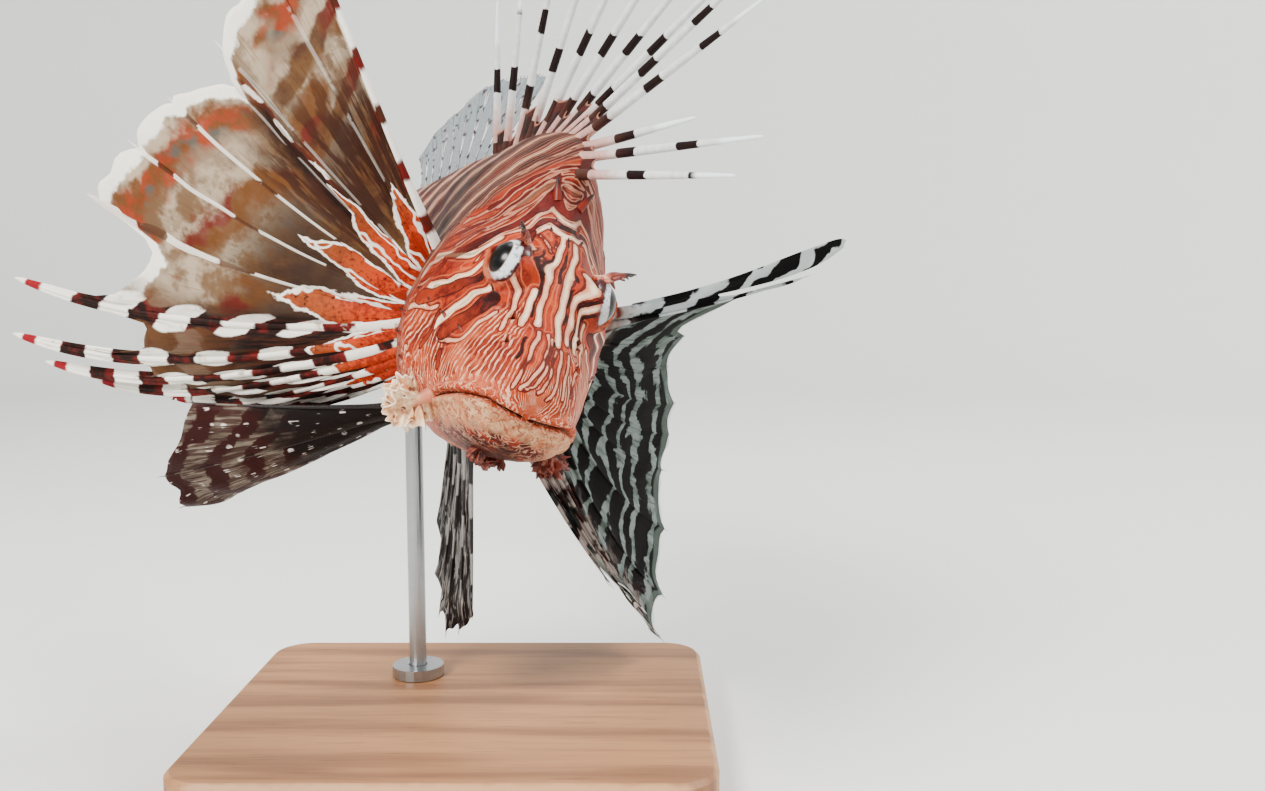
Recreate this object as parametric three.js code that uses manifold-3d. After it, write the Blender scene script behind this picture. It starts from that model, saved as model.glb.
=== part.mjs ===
// Red lionfish, a still, life-size display model held by a plain stand.
// Units are millimetres. The fish is modelled from the tip of its upper jaw, with its nose along +X,
// its left side along +Y and its back along +Z, and is then turned into its pose over the stand.

import * as THREE from 'three';
import { mergeVertices } from 'three/addons/utils/BufferGeometryUtils.js';
import Module from 'manifold-3d';

const wasm = await Module();
wasm.setup();

// Gap between neighbouring pieces
const GAP = 0.3;

// Pose over the stand, in degrees, and the place of the jaw tip from the middle of the base
const HEADING = -78;
const NOSE_DOWN = 14.9;
const BANK = -25;
const JAW_TIP = [32, -112, 124];

// Stand
const BASE_LENGTH = 160;
const BASE_WIDTH = 130;
const BASE_HEIGHT = 12;
const BASE_CORNER = 12;
const BASE_EDGE = 1.5;
const ROD_RADIUS = 3;
const ROD_SINK = 8;
const ROD_TOP = 142;
const ROD_PLACE = [-21, 27];
const COLLAR_RADIUS = 9;
const COLLAR_HEIGHT = 4;
const ROD_SIDES = 20;

// Body stations, from the snout back: distance, back, belly, half width, level of the widest
// point, and pinch of the upper half (1 is an ellipse, more is narrower towards the back)
const STATIONS = [
  [0, 1, -7.5, 5.5, -3.5, 1],
  [1.5, 3.5, -12, 9.5, -5, 1],
  [5, 7, -16, 12.5, -6.5, 1],
  [10, 10.8, -18.8, 15, -8, 1.05],
  [17, 14.8, -22, 17.3, -9, 1.1],
  [25, 21.5, -25.3, 19.3, -9, 1.2],
  [33, 27.5, -28.5, 21.6, -8, 1.3],
  [42, 32, -31.5, 24.2, -7, 1.35],
  [52, 36, -34.3, 26.3, -5.5, 1.4],
  [60, 41.5, -36.3, 26.4, -5, 1.5],
  [68, 49.5, -38, 25.8, -4.5, 1.6],
  [78, 53, -39.5, 24.8, -4, 1.6],
  [95, 52, -40.3, 23, -3, 1.45],
  [120, 42.5, -36, 19.5, -1, 1.3],
  [150, 30, -27.5, 14.5, 1.5, 1.15],
  [175, 22, -18.5, 10, 3, 1.05],
  [200, 16.5, -10.5, 6.6, 3.2, 1],
  [218, 16, -9, 5, 3.2, 1],
  [228, 15.5, -8.5, 2.6, 3.2, 1],
];
const RINGS = [
  0, 1.5, 4, 7.5, 12, 17, 22, 27, 33, 39, 45, 52, 58, 63, 68, 73, 78, 86, 95, 104, 113, 122,
  132, 142, 152, 162, 172, 182, 191, 200, 210, 219, 228,
];
const RING_POINTS = 24;
const TAIL_CUT = 196;

// The body bends to its right from SWAY_START back, and sinks towards the tail from DROOP_START back
const TAIL_SWAY = 22;
const SWAY_START = 70;
const SWAY_SPAN = 158;
const TAIL_DROOP = 26;
const DROOP_START = 95;
const DROOP_SPAN = 133;
const DROOP_POWER = 1.6;

// Eyes
const EYE_RADIUS = 7.2;
const EYE_CENTRE = [-34, 9.8, 20.6];
const EYE_AXIS = [0.58, 0.8, 0.14];
const ORBIT_RIM = 1.3;
const EYE_OPENING = 5.9;

// Mouth: how far back it runs, its level at the front and at the corner, and the lips
const MOUTH_DEPTH = 21.5;
const MOUTH_FRONT = -3;
const MOUTH_CORNER = -14.5;
const MOUTH_CUT = 0.5;
const LIP_RADIUS = 1.7;
const LIP_OFFSET = 1.4;
const JAW_HINGE_BACK = 7;

// Gill cover edge, from the nape down: distance behind the snout and level
const GILL_EDGE = [[57, 60], [62, 34], [70, 18], [75, 2], [75, -12], [70, -26], [61, -46]];

// Small mathematics

const radians = THREE.MathUtils.degToRad;
const vector = (x, y, z) => new THREE.Vector3(x, y, z);

// Smooth value at u through a table of [u, value, value, ...] rows
function smooth(table, u, column = 1) {
  const last = table.length - 1;
  const x = Math.min(Math.max(u, table[0][0]), table[last][0]);
  let i = 0;
  while (i < last - 1 && x > table[i + 1][0]) i += 1;
  const slope = (a, b) => (table[b][column] - table[a][column]) / (table[b][0] - table[a][0]);
  const span = table[i + 1][0] - table[i][0];
  const inSlope = i > 0 ? (slope(i - 1, i) + slope(i, i + 1)) / 2 : slope(i, i + 1);
  const outSlope = i < last - 1 ? (slope(i, i + 1) + slope(i + 1, i + 2)) / 2 : slope(i, i + 1);
  const t = (x - table[i][0]) / span;
  const rise = t * t * (3 - 2 * t);
  const start = table[i][column] * (1 - rise) + table[i + 1][column] * rise;
  return start + span * t * (1 - t) * ((1 - t) * inSlope - t * outSlope);
}

// Solids

function toSolid(geometry) {
  const bare = geometry.clone();
  bare.deleteAttribute('normal');
  bare.deleteAttribute('uv');
  const merged = mergeVertices(bare, 1e-4);
  return new wasm.Manifold(new wasm.Mesh({
    numProp: 3,
    vertProperties: new Float32Array(merged.attributes.position.array),
    triVerts: new Uint32Array(merged.index.array),
  }));
}

function toGeometry(solid) {
  const mesh = solid.getMesh();
  const geometry = new THREE.BufferGeometry();
  geometry.setAttribute('position', new THREE.BufferAttribute(new Float32Array(mesh.vertProperties), 3));
  geometry.setIndex(new THREE.BufferAttribute(new Uint32Array(mesh.triVerts), 1));
  return geometry;
}

const largestPiece = (solid) => solid.decompose().sort((a, b) => b.volume() - a.volume())[0];

function indexedGeometry(points, faces) {
  const geometry = new THREE.BufferGeometry();
  geometry.setFromPoints(points);
  geometry.setIndex(faces);
  return geometry;
}

// A closed tube through the points, with its own radius at each; a flat tube is wider along `across`
function tube(points, radii, sides, across = null, flatness = 1) {
  const vertices = [];
  const faces = [];
  let side = across ? across.clone() : vector(0.31, 0.52, 0.79);
  points.forEach((point, i) => {
    const before = points[Math.max(i - 1, 0)];
    const after = points[Math.min(i + 1, points.length - 1)];
    const run = after.clone().sub(before).normalize();
    side = side.clone().addScaledVector(run, -side.dot(run)).normalize();
    const rise = run.clone().cross(side);
    for (let k = 0; k < sides; k += 1) {
      const turn = (2 * Math.PI * k) / sides;
      vertices.push(point.clone()
        .addScaledVector(side, radii[i] * Math.cos(turn))
        .addScaledVector(rise, radii[i] * flatness * Math.sin(turn)));
    }
  });
  const first = vertices.push(points[0].clone()) - 1;
  const final = vertices.push(points[points.length - 1].clone()) - 1;
  const lastRing = (points.length - 1) * sides;
  for (let k = 0; k < sides; k += 1) {
    const next = (k + 1) % sides;
    for (let ring = 0; ring < lastRing; ring += sides) {
      faces.push(ring + k, ring + next, ring + sides + next);
      faces.push(ring + k, ring + sides + next, ring + sides + k);
    }
    faces.push(first, next, k);
    faces.push(final, lastRing + k, lastRing + next);
  }
  return indexedGeometry(vertices, faces);
}

// A strip of even thickness in the side view, run right across the fish, that cuts along a line
function sideCut(line, thickness) {
  const reach = 90;
  const left = [];
  const right = [];
  line.forEach((point, i) => {
    const before = line[Math.max(i - 1, 0)];
    const after = line[Math.min(i + 1, line.length - 1)];
    const run = after.clone().sub(before).normalize();
    const offset = new THREE.Vector2(-run.y, run.x).multiplyScalar(thickness / 2);
    left.push(point.clone().add(offset));
    right.unshift(point.clone().sub(offset));
  });
  const strip = new THREE.ExtrudeGeometry(new THREE.Shape([...left, ...right]), {
    depth: reach,
    bevelEnabled: false,
  });
  strip.rotateX(Math.PI / 2);
  strip.translate(0, reach / 2, 0);
  return toSolid(strip);
}

// Body

function sway(s) {
  const u = THREE.MathUtils.clamp((s - SWAY_START) / SWAY_SPAN, 0, 1);
  return -TAIL_SWAY * u * u * (3 - 2 * u);
}

const droop = (s) => -TAIL_DROOP * Math.max(0, (s - DROOP_START) / DROOP_SPAN) ** DROOP_POWER;
const backAt = (s) => smooth(STATIONS, s, 1);
const bellyAt = (s) => smooth(STATIONS, s, 2);

// A point of the skin: s behind the snout, angle from the back round the left side, grown by `grow`
function skinPoint(s, angle, grow = 0) {
  const widest = smooth(STATIONS, s, 4);
  const half = smooth(STATIONS, s, 3) + grow;
  const up = Math.cos(angle);
  const out = Math.sin(angle);
  const level = up > 0 ? backAt(s) + grow - widest : widest - bellyAt(s) + grow;
  const pinch = up > 0 ? smooth(STATIONS, s, 5) : 1;
  const y = sway(s) + half * Math.sign(out) * Math.abs(out) ** pinch;
  return vector(-s, y, droop(s) + widest + level * up);
}

function skinNormal(s, angle) {
  const step = 0.05;
  const along = skinPoint(s + 1, angle).sub(skinPoint(s - 1, angle));
  const round = skinPoint(s, angle + step).sub(skinPoint(s, angle - step));
  return round.cross(along).normalize();
}

// The angle at which the left skin passes a level
function angleAtLevel(s, level) {
  const widest = smooth(STATIONS, s, 4);
  const reach = level > widest ? backAt(s) - widest : widest - bellyAt(s);
  return Math.acos(THREE.MathUtils.clamp((level - widest) / reach, -1, 1));
}

function bodySolid(grow = 0) {
  const points = [];
  const faces = [];
  for (const s of RINGS) {
    for (let k = 0; k < RING_POINTS; k += 1) {
      points.push(skinPoint(s, (2 * Math.PI * k) / RING_POINTS, grow));
    }
  }
  const lastRing = (RINGS.length - 1) * RING_POINTS;
  const snout = points.push(vector(0.7 + grow, 0, MOUTH_FRONT)) - 1;
  const tailEnd = RINGS[RINGS.length - 1];
  const endLevel = droop(tailEnd) + smooth(STATIONS, tailEnd, 4);
  const end = points.push(vector(-tailEnd - grow, sway(tailEnd), endLevel)) - 1;
  for (let k = 0; k < RING_POINTS; k += 1) {
    const next = (k + 1) % RING_POINTS;
    for (let ring = 0; ring < lastRing; ring += RING_POINTS) {
      faces.push(ring + k, ring + next, ring + RING_POINTS + next);
      faces.push(ring + k, ring + RING_POINTS + next, ring + RING_POINTS + k);
    }
    faces.push(snout, next, k);
    faces.push(end, lastRing + k, lastRing + next);
  }
  return toSolid(indexedGeometry(points, faces));
}

// Head

const eyeCentre = (side) => vector(EYE_CENTRE[0], side * EYE_CENTRE[1], EYE_CENTRE[2]);
const eyeAxis = (side) => vector(EYE_AXIS[0], side * EYE_AXIS[1], EYE_AXIS[2]).normalize();

function sphere(centre, radius, columns = 14, rows = 9) {
  const ball = new THREE.SphereGeometry(radius, columns, rows);
  ball.translate(centre.x, centre.y, centre.z);
  return ball;
}

// A cone, or a cylinder with two radii alike, whose foot is sunk below a point of the skin
function spike(point, direction, radius, length, sink, sides = 5) {
  const foot = point.clone().addScaledVector(direction, -sink);
  const tip = point.clone().addScaledVector(direction, length);
  return tube([foot, tip], [radius, radius * 0.12], sides);
}

// Rows of bony thorns on each side of the head: start and end as [s, level], count and length
const THORN_ROWS = [
  { from: [29, 25], to: [41, 31], count: 3, length: 2.2, radius: 1.4 },
  { from: [26, 3], to: [56, 1], count: 4, length: 1.7, radius: 1.3 },
  { from: [46, -16], to: [60, -8], count: 3, length: 2.8, radius: 1.6 },
  { from: [48, 33.5], to: [56, 37.5], count: 2, length: 3.2, radius: 1.7 },
];
const THORN_LEAN = vector(-0.9, 0, 0.25);

function thorns(side) {
  const pieces = [];
  for (const row of THORN_ROWS) {
    for (let i = 0; i < row.count; i += 1) {
      const u = row.count > 1 ? i / (row.count - 1) : 0;
      const s = THREE.MathUtils.lerp(row.from[0], row.to[0], u);
      const level = THREE.MathUtils.lerp(row.from[1], row.to[1], u);
      const angle = side * angleAtLevel(s, Math.min(level, backAt(s) - 0.8));
      const direction = skinNormal(s, angle).add(THORN_LEAN).normalize();
      const length = row.length * (0.8 + 0.4 * Math.sin(2.4 * i + row.count) ** 2);
      pieces.push(toSolid(spike(skinPoint(s, angle), direction, row.radius, length, 1.2)));
    }
  }
  return pieces;
}

const mouthLevel = (s) => THREE.MathUtils.lerp(MOUTH_FRONT, MOUTH_CORNER, (s / MOUTH_DEPTH) ** 1.25);

// A lip runs round the front of the mouth from one corner to the other
function lip(offset) {
  const steps = [1, 0.76, 0.52, 0.3, 0.13, 0.04];
  const left = steps.map((f) => {
    const s = f * (MOUTH_DEPTH - 1.5);
    return skinPoint(s, angleAtLevel(s, mouthLevel(s) + offset), -0.4);
  });
  const right = left.map((point) => vector(point.x, -point.y, point.z)).reverse();
  const front = vector(0.1, 0, MOUTH_FRONT + offset);
  const radii = [...steps.map((f) => LIP_RADIUS * (1 - 0.55 * f)), LIP_RADIUS];
  return toSolid(tube([...left, front, ...right], [...radii, ...radii.slice(0, -1).reverse()], 6));
}

// Nostrils: a pit with a small raised flap in front of it, on each side of the snout
function nostrils(head) {
  let result = head;
  for (const side of [-1, 1]) {
    for (const [s, level] of [[12.5, 8.2], [19, 12.5]]) {
      const angle = side * angleAtLevel(s, level);
      const normal = skinNormal(s, angle);
      const flapAngle = side * angleAtLevel(s - 2, level - 1);
      const flap = spike(skinPoint(s - 2, flapAngle), skinNormal(s - 2, flapAngle), 1.1, 1.9, 1);
      const pit = tube(
        [skinPoint(s, angle).addScaledVector(normal, -1.6), skinPoint(s, angle).addScaledVector(normal, 2)],
        [0.7, 1.1],
        7,
      );
      result = result.add(toSolid(flap)).subtract(toSolid(pit));
    }
  }
  return result;
}

// Three soft barbels under the chin
function chinBarbels() {
  return [[9, 0, 4], [14, 5, 3], [14, -5, 3]].map(([s, y, length]) => {
    const belly = bellyAt(s);
    const foot = vector(-s, y, belly + 2);
    const middle = vector(-s + 1.2, y * 1.2, belly - length * 0.5);
    const tip = vector(-s + 0.5, y * 1.5, belly - length);
    return toSolid(tube([foot, middle, tip], [1.5, 1.2, 0.3], 5));
  });
}

function headWithFeatures(body) {
  let head = body;
  for (const side of [-1, 1]) {
    head = head.add(toSolid(sphere(eyeCentre(side), EYE_RADIUS + ORBIT_RIM)));
    for (const piece of thorns(side)) head = head.add(piece);
  }
  head = head.add(lip(LIP_OFFSET)).add(lip(-LIP_OFFSET));
  for (const barbel of chinBarbels()) head = head.add(barbel);
  for (const side of [-1, 1]) {
    const centre = eyeCentre(side);
    const outside = centre.clone().addScaledVector(eyeAxis(side), EYE_RADIUS * 2);
    head = head.subtract(toSolid(sphere(centre, EYE_RADIUS + GAP)));
    head = head.subtract(toSolid(tube([centre, outside], [EYE_OPENING - 1, EYE_OPENING + 2.5], 16)));
  }
  return nostrils(head);
}

// The body, whole with its head features, is parted at the gill cover, the jaw and the tail root
function bodyPieces(rodInFish) {
  let whole = headWithFeatures(bodySolid());
  whole = whole.subtract(rodInFish);
  const gillLine = new THREE.SplineCurve(GILL_EDGE.map(([s, z]) => new THREE.Vector2(-s, z))).getPoints(16);
  whole = whole.subtract(sideCut(gillLine, GAP));
  whole = whole.subtract(sideCut([new THREE.Vector2(-TAIL_CUT, 40), new THREE.Vector2(-TAIL_CUT, -40)], GAP));
  const mouthLine = [new THREE.Vector2(6, MOUTH_FRONT)];
  for (const f of [0.1, 0.3, 0.5, 0.75, 1]) {
    mouthLine.push(new THREE.Vector2(-f * MOUTH_DEPTH, mouthLevel(f * MOUTH_DEPTH)));
  }
  mouthLine.push(new THREE.Vector2(-MOUTH_DEPTH - 2.5, MOUTH_CORNER - 4));
  mouthLine.push(new THREE.Vector2(-MOUTH_DEPTH - JAW_HINGE_BACK, -50));
  whole = whole.subtract(sideCut(mouthLine, MOUTH_CUT));
  const pieces = whole.decompose().sort((a, b) => b.volume() - a.volume()).slice(0, 4);
  const middle = (piece) => {
    const box = piece.boundingBox();
    return (box.min[0] + box.max[0]) / 2;
  };
  const byPlace = pieces.sort((a, b) => middle(b) - middle(a));
  return { lower_jaw: byPlace[0], head: byPlace[1], torso: byPlace[2], tail_root: byPlace[3] };
}

// Fins

// A fin is one sheet of rays and web. Each ray is a raised ridge of three columns of points, and a
// pleated web has one more column between two rays. Both faces are split into the same triangles.
// path(u, t) is the line of the ray at u, and webRows(k) says how far the web reaches beyond ray k
function finGeometry(fin) {
  const { rays, rows, path, webRows, ridge, width, web, root, rootReach } = fin;
  const { pleated = false, billow = 0, scallop = 0 } = fin;
  const columns = [];
  const rayPoint = (k, t) => path(THREE.MathUtils.clamp(k, 0, rays - 1) / (rays - 1), t);
  const frameAt = (k, t) => {
    const run = rayPoint(k, Math.min(t + 0.02, 1)).sub(rayPoint(k, Math.max(t - 0.02, 0))).normalize();
    const across = rayPoint(k + 1, t).sub(rayPoint(k - 1, t));
    across.addScaledVector(run, -across.dot(run)).normalize();
    return { across, normal: across.clone().cross(run) };
  };
  const rootSwell = (k, t) => {
    const fade = Math.max(0, 1 - t / rootReach);
    return root * fade * fade * (3 - 2 * fade) * Math.sqrt(Math.sin(Math.PI * (0.1 + (0.8 * k) / (rays - 1))));
  };
  for (let k = 0; k < rays; k += 1) {
    const left = [];
    const crest = [];
    const right = [];
    const between = [];
    const reach = k < rays - 1 ? webRows(k) : 0;
    for (let row = 0; row <= rows; row += 1) {
      const t = row / rows;
      const point = rayPoint(k, t);
      const { across, normal } = frameAt(k, t);
      const swell = rootSwell(k, t);
      const taper = 1 - t * t;
      const half = width * (0.25 + 0.75 * taper);
      const edge = Math.max(web, swell) * (row === rows ? 0.6 : 1);
      left.push({ point: point.clone().addScaledVector(across, -half), normal, half: edge });
      crest.push({ point, normal, half: Math.max(web + 0.1, ridge * (0.3 + 0.7 * taper)) + swell });
      right.push({ point: point.clone().addScaledVector(across, half), normal, half: edge });
      if (pleated && k < rays - 1) {
        const drawn = reach > 0 ? scallop * Math.min(row / reach, 1) ** 3 : 0;
        const tWeb = t * (1 - drawn);
        const here = frameAt(k, tWeb);
        const next = frameAt(k + 1, tWeb);
        const face = here.normal.clone().add(next.normal).normalize();
        const middle = rayPoint(k, tWeb).add(rayPoint(k + 1, tWeb)).multiplyScalar(0.5);
        const gap = rayPoint(k, tWeb).distanceTo(rayPoint(k + 1, tWeb));
        middle.addScaledVector(face, -billow * gap);
        between.push({ point: middle, normal: face, half: Math.max(web, swell) });
      }
    }
    columns.push({ cells: left, reach: rows }, { cells: crest, reach: rows }, { cells: right, reach });
    if (pleated && k < rays - 1) columns.push({ cells: between, reach });
  }
  return sheetGeometry(columns, rows);
}

// Columns of points with thickness become one closed sheet. A column's reach is how many rows of
// cells lie between it and the next column
function sheetGeometry(columns, rows) {
  const points = [];
  const faces = [];
  const stride = rows + 1;
  const lower = columns.length * stride;
  for (const sign of [1, -1]) {
    for (const column of columns) {
      for (const { point, normal, half } of column.cells) {
        points.push(point.clone().addScaledVector(normal, sign * half));
      }
    }
  }
  const filled = (c, row) => c >= 0 && c < columns.length - 1 && row >= 0 && row < columns[c].reach;
  const wall = (a, b) => faces.push(a, b, b + lower, a, b + lower, a + lower);
  for (let c = 0; c < columns.length - 1; c += 1) {
    for (let row = 0; row < columns[c].reach; row += 1) {
      const a = c * stride + row;
      const b = a + stride;
      faces.push(a, b, b + 1, a, b + 1, a + 1);
      faces.push(a + lower, b + 1 + lower, b + lower, a + lower, a + 1 + lower, b + 1 + lower);
      if (!filled(c, row - 1)) wall(b, a);
      if (!filled(c, row + 1)) wall(a + 1, b + 1);
      if (!filled(c - 1, row)) wall(a, a + 1);
      if (!filled(c + 1, row)) wall(b + 1, b);
    }
  }
  return indexedGeometry(points, faces);
}

// A straight chord of a given length and direction, bowed sideways in the middle
function bowed(root, direction, length, bow, t) {
  return root.clone()
    .addScaledVector(direction, length * t)
    .addScaledVector(bow, 4 * t * (1 - t));
}

// Paired fins: fan is the angle from straight up towards straight down through the outside, sweep
// the angle back from square to the body, both in degrees
function fanDirection(side, fan, sweep) {
  const f = radians(fan);
  const w = radians(sweep);
  return vector(-Math.sin(w), side * Math.cos(w) * Math.sin(f), Math.cos(w) * Math.cos(f));
}

const PECTORAL_RAYS = 14;
const PECTORAL_ROWS = 8;
const PECTORAL_ROOT = { s: 77, top: 5, bottom: -29, sink: 4 };

// Rows of [u from the leading ray to the last, fan, sweep, length, bow down, bow forward]
const PECTORAL_SHAPE = {
  right: {
    side: -1,
    table: [
      [0, 46, 2, 102, 0, 3], [0.077, 53, 4, 92, 0, 4], [0.154, 67, 8, 84, 0, 5], [0.23, 69, 12, 75, 0, 5],
      [0.31, 79, 15, 88, 2, 6], [0.46, 100, 21, 102, 4, 6], [0.54, 116, 23, 128, 6, 6],
      [0.615, 124, 25, 136, 8, 6], [0.77, 131, 27, 114, 7, 5], [0.92, 140, 29, 68, 4, 3],
      [1, 145, 30, 52, 2, 2],
    ],
    webRows: [8, 8, 8, 8, 8, 8, 6, 5, 5, 5, 5, 6, 7],
  },
  left: {
    side: 1,
    table: [
      [0, 60, 28, 120, 2, 2], [0.077, 64, 30, 110, 2, 2], [0.154, 85, 47, 87, 2, 4],
      [0.31, 104, 46, 111, 4, 5], [0.46, 115, 40, 121, 5, 5], [0.62, 127, 24, 140, 6, 4],
      [0.69, 129, 16, 134, 5, 3], [0.85, 126, 5, 94, 3, 2], [1, 125, -3, 72, 2, 1],
    ],
    webRows: [8, 3, 8, 8, 8, 8, 7, 6, 6, 6, 6, 7, 7],
  },
};

function pectoralFin({ side, table, webRows }) {
  const { s, top, bottom, sink } = PECTORAL_ROOT;
  const rootAt = (u) => {
    const angle = side * angleAtLevel(s, THREE.MathUtils.lerp(top, bottom, u));
    return skinPoint(s, angle).addScaledVector(skinNormal(s, angle), -sink);
  };
  const path = (u, t) => {
    const direction = fanDirection(side, smooth(table, u, 1), smooth(table, u, 2));
    const bow = vector(smooth(table, u, 5), 0, -smooth(table, u, 4));
    return bowed(rootAt(u), direction, smooth(table, u, 3), bow, t);
  };
  return finGeometry({
    rays: PECTORAL_RAYS, rows: PECTORAL_ROWS, path, webRows: (k) => webRows[k],
    ridge: 0.8, width: 0.9, web: 0.27, root: 3.6, rootReach: 0.34,
    pleated: true, billow: 0.05, scallop: 0.07,
  });
}

const PELVIC_RAYS = 6;
const PELVIC_ROWS = 6;
const PELVIC_ROOT = { s: 82, front: 78, back: 90, out: 8, sink: 3 };

// Rows of [u from the spine to the last ray, fan, sweep, length, bow forward]
const PELVIC_SHAPE = {
  right: {
    side: -1,
    table: [[0, 115, 5, 66, 3], [0.25, 138, 11, 87, 4], [0.6, 148, 20, 85, 5], [1, 146, 34, 46, 3]],
  },
  left: {
    side: 1,
    table: [[0, 154, 1, 68, 2], [0.4, 158, 9, 86, 3], [0.7, 159, 15, 80, 4], [1, 159, 25, 58, 3]],
  },
};

function pelvicFin({ side, table }) {
  const { front, back, out, sink } = PELVIC_ROOT;
  const path = (u, t) => {
    const s = THREE.MathUtils.lerp(front, back, u);
    const y = side * THREE.MathUtils.lerp(out, out * 0.45, u);
    const root = vector(-s, y, bellyAt(s) + sink);
    const direction = fanDirection(side, smooth(table, u, 1), smooth(table, u, 2));
    return bowed(root, direction, smooth(table, u, 3), vector(smooth(table, u, 4), 0, 0), t);
  };
  return finGeometry({
    rays: PELVIC_RAYS, rows: PELVIC_ROWS, path, webRows: () => PELVIC_ROWS,
    ridge: 0.85, width: 1, web: 0.27, root: 2, rootReach: 0.25,
    pleated: true, billow: 0.06, scallop: 0.08,
  });
}

// Fins on the middle line: lean is the angle back from square to the body, splay the angle
// towards the left side. Rows of [u, s of the root, lean, splay, length]
function middleFin({ upward, table, rays, rows, webRows, sink, bow, ...sheet }) {
  const path = (u, t) => {
    const s = smooth(table, u, 1);
    const lean = radians(smooth(table, u, 2));
    const splay = radians(smooth(table, u, 3));
    const level = droop(s) + (upward > 0 ? backAt(s) - sink : bellyAt(s) + sink);
    const direction = vector(
      -Math.sin(lean) * Math.cos(splay),
      Math.sin(splay),
      upward * Math.cos(lean) * Math.cos(splay),
    );
    return bowed(vector(-s, sway(s), level), direction, smooth(table, u, 4), vector(0, 0, upward * bow), t);
  };
  return finGeometry({ rays, rows, path, webRows, ...sheet });
}

const SPINY_DORSAL = {
  upward: 1, rays: 13, rows: 5, sink: 3, bow: 0,
  table: [
    [0, 66, -68, 21, 61], [0.083, 72, -64, 20, 69], [0.167, 78, -55, 22, 44], [0.25, 84, -47, 9, 84],
    [0.42, 95, -35, 8, 92], [0.58, 107, -23, 1, 92], [0.75, 119, -6, -9, 82], [0.92, 131, 6, -20, 60],
    [1, 136, 12, -24, 52],
  ],
  webRows: (k) => (k < 2 ? 1 : 2),
  ridge: 1.15, width: 1.15, web: 0.3, root: 0.6, rootReach: 0.2,
  pleated: true, scallop: 0.25,
};

const SOFT_DORSAL = {
  upward: 1, rays: 11, rows: 4, sink: 3, bow: 2,
  table: [
    [0, 142, 23, 11, 42], [0.2, 150, 37, 5, 46], [0.4, 160, 48, -2, 48], [0.6, 171, 59, -4, 46],
    [0.8, 184, 64, -6, 40], [1, 194, 68, -7, 28],
  ],
  webRows: () => 4,
  ridge: 0.6, width: 0.6, web: 0.27, root: 0.8, rootReach: 0.2,
};

const ANAL = {
  upward: -1, rays: 10, rows: 4, sink: 3, bow: -2,
  table: [
    [0, 156, 26, 0, 20], [0.11, 160, 30, 0, 28], [0.22, 164, 34, 0, 36], [0.4, 171, 40, 0, 46],
    [0.75, 184, 54, 0, 44], [1, 191, 66, 0, 28],
  ],
  webRows: () => 4,
  ridge: 0.7, width: 0.7, web: 0.27, root: 0.8, rootReach: 0.2,
};

const CAUDAL = {
  rays: 13, rows: 5, base: 225, spread: 32, length: 74, outer: 0.88, turn: 14, tilt: 13, halfHeight: 8.5,
  level: 3.4,
};

function caudalFin() {
  const { rays, rows, base, spread, length, outer, turn, tilt, halfHeight, level } = CAUDAL;
  const path = (u, t) => {
    const v = 1 - 2 * u;
    const rise = radians(spread * v - tilt);
    const yaw = radians(turn);
    const direction = vector(-Math.cos(rise) * Math.cos(yaw), -Math.cos(rise) * Math.sin(yaw), Math.sin(rise));
    const reach = length * (outer + (1 - outer) * Math.cos(v * Math.PI * 0.5));
    const root = vector(-base, sway(base), droop(base) + level + halfHeight * v);
    return bowed(root, direction, reach, vector(0, 1.5, 0), t);
  };
  return finGeometry({
    rays, rows, path, webRows: () => rows,
    ridge: 0.7, width: 0.7, web: 0.27, root: 1.6, rootReach: 0.2,
  });
}

// A soft flap is a flat tapered blade with side lobes, from a foot inside the head
function flap(foot, direction, across, length, width, lobes) {
  const steps = 4;
  const points = [];
  const radii = [];
  for (let i = 0; i <= steps; i += 1) {
    const t = i / steps;
    points.push(foot.clone().addScaledVector(direction, length * t).addScaledVector(across, 1.2 * Math.sin(3 * t)));
    radii.push(Math.max(0.35, width * (1 - t) ** 0.6 * (0.75 + 0.25 * Math.cos(9 * t))));
  }
  let solid = toSolid(tube(points, radii, 6, across, 0.4));
  for (let i = 0; i < lobes; i += 1) {
    const t = 0.3 + (0.6 * i) / lobes;
    const side = i % 2 ? -1 : 1;
    const start = foot.clone().addScaledVector(direction, length * t);
    const aim = direction.clone().multiplyScalar(0.8).addScaledVector(across, side * 1.1).normalize();
    const tip = start.clone().addScaledVector(aim, width * 1.9 * (1.1 - t));
    solid = solid.add(toSolid(tube([start, tip], [width * 0.5 * (1.2 - t), 0.3], 5, across, 0.55)));
  }
  return solid;
}

function browTentacle(side) {
  const length = side > 0 ? 10 : 8;
  const foot = vector(-33, side * 9.5, 26);
  const direction = vector(0.05, side * 0.75, side > 0 ? 0.55 : 0.9).normalize();
  return flap(foot, direction, vector(1, 0, 0.2).normalize(), length, 1.9, 2);
}

function cheekTentacle(side) {
  const s = 25;
  const angle = side * angleAtLevel(s, -15.5);
  const foot = skinPoint(s, angle).addScaledVector(skinNormal(s, angle), -2);
  const direction = side > 0 ? vector(0.25, 0.3, -1) : vector(0.1, -0.85, -0.75);
  const across = side > 0 ? vector(0.3, 0.9, 0.3) : vector(-0.35, -0.4, 0.85);
  return flap(foot, direction.normalize(), across.normalize(), side > 0 ? 15 : 18, 4.6, 4);
}

// Stand, in the frame of the base

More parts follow.
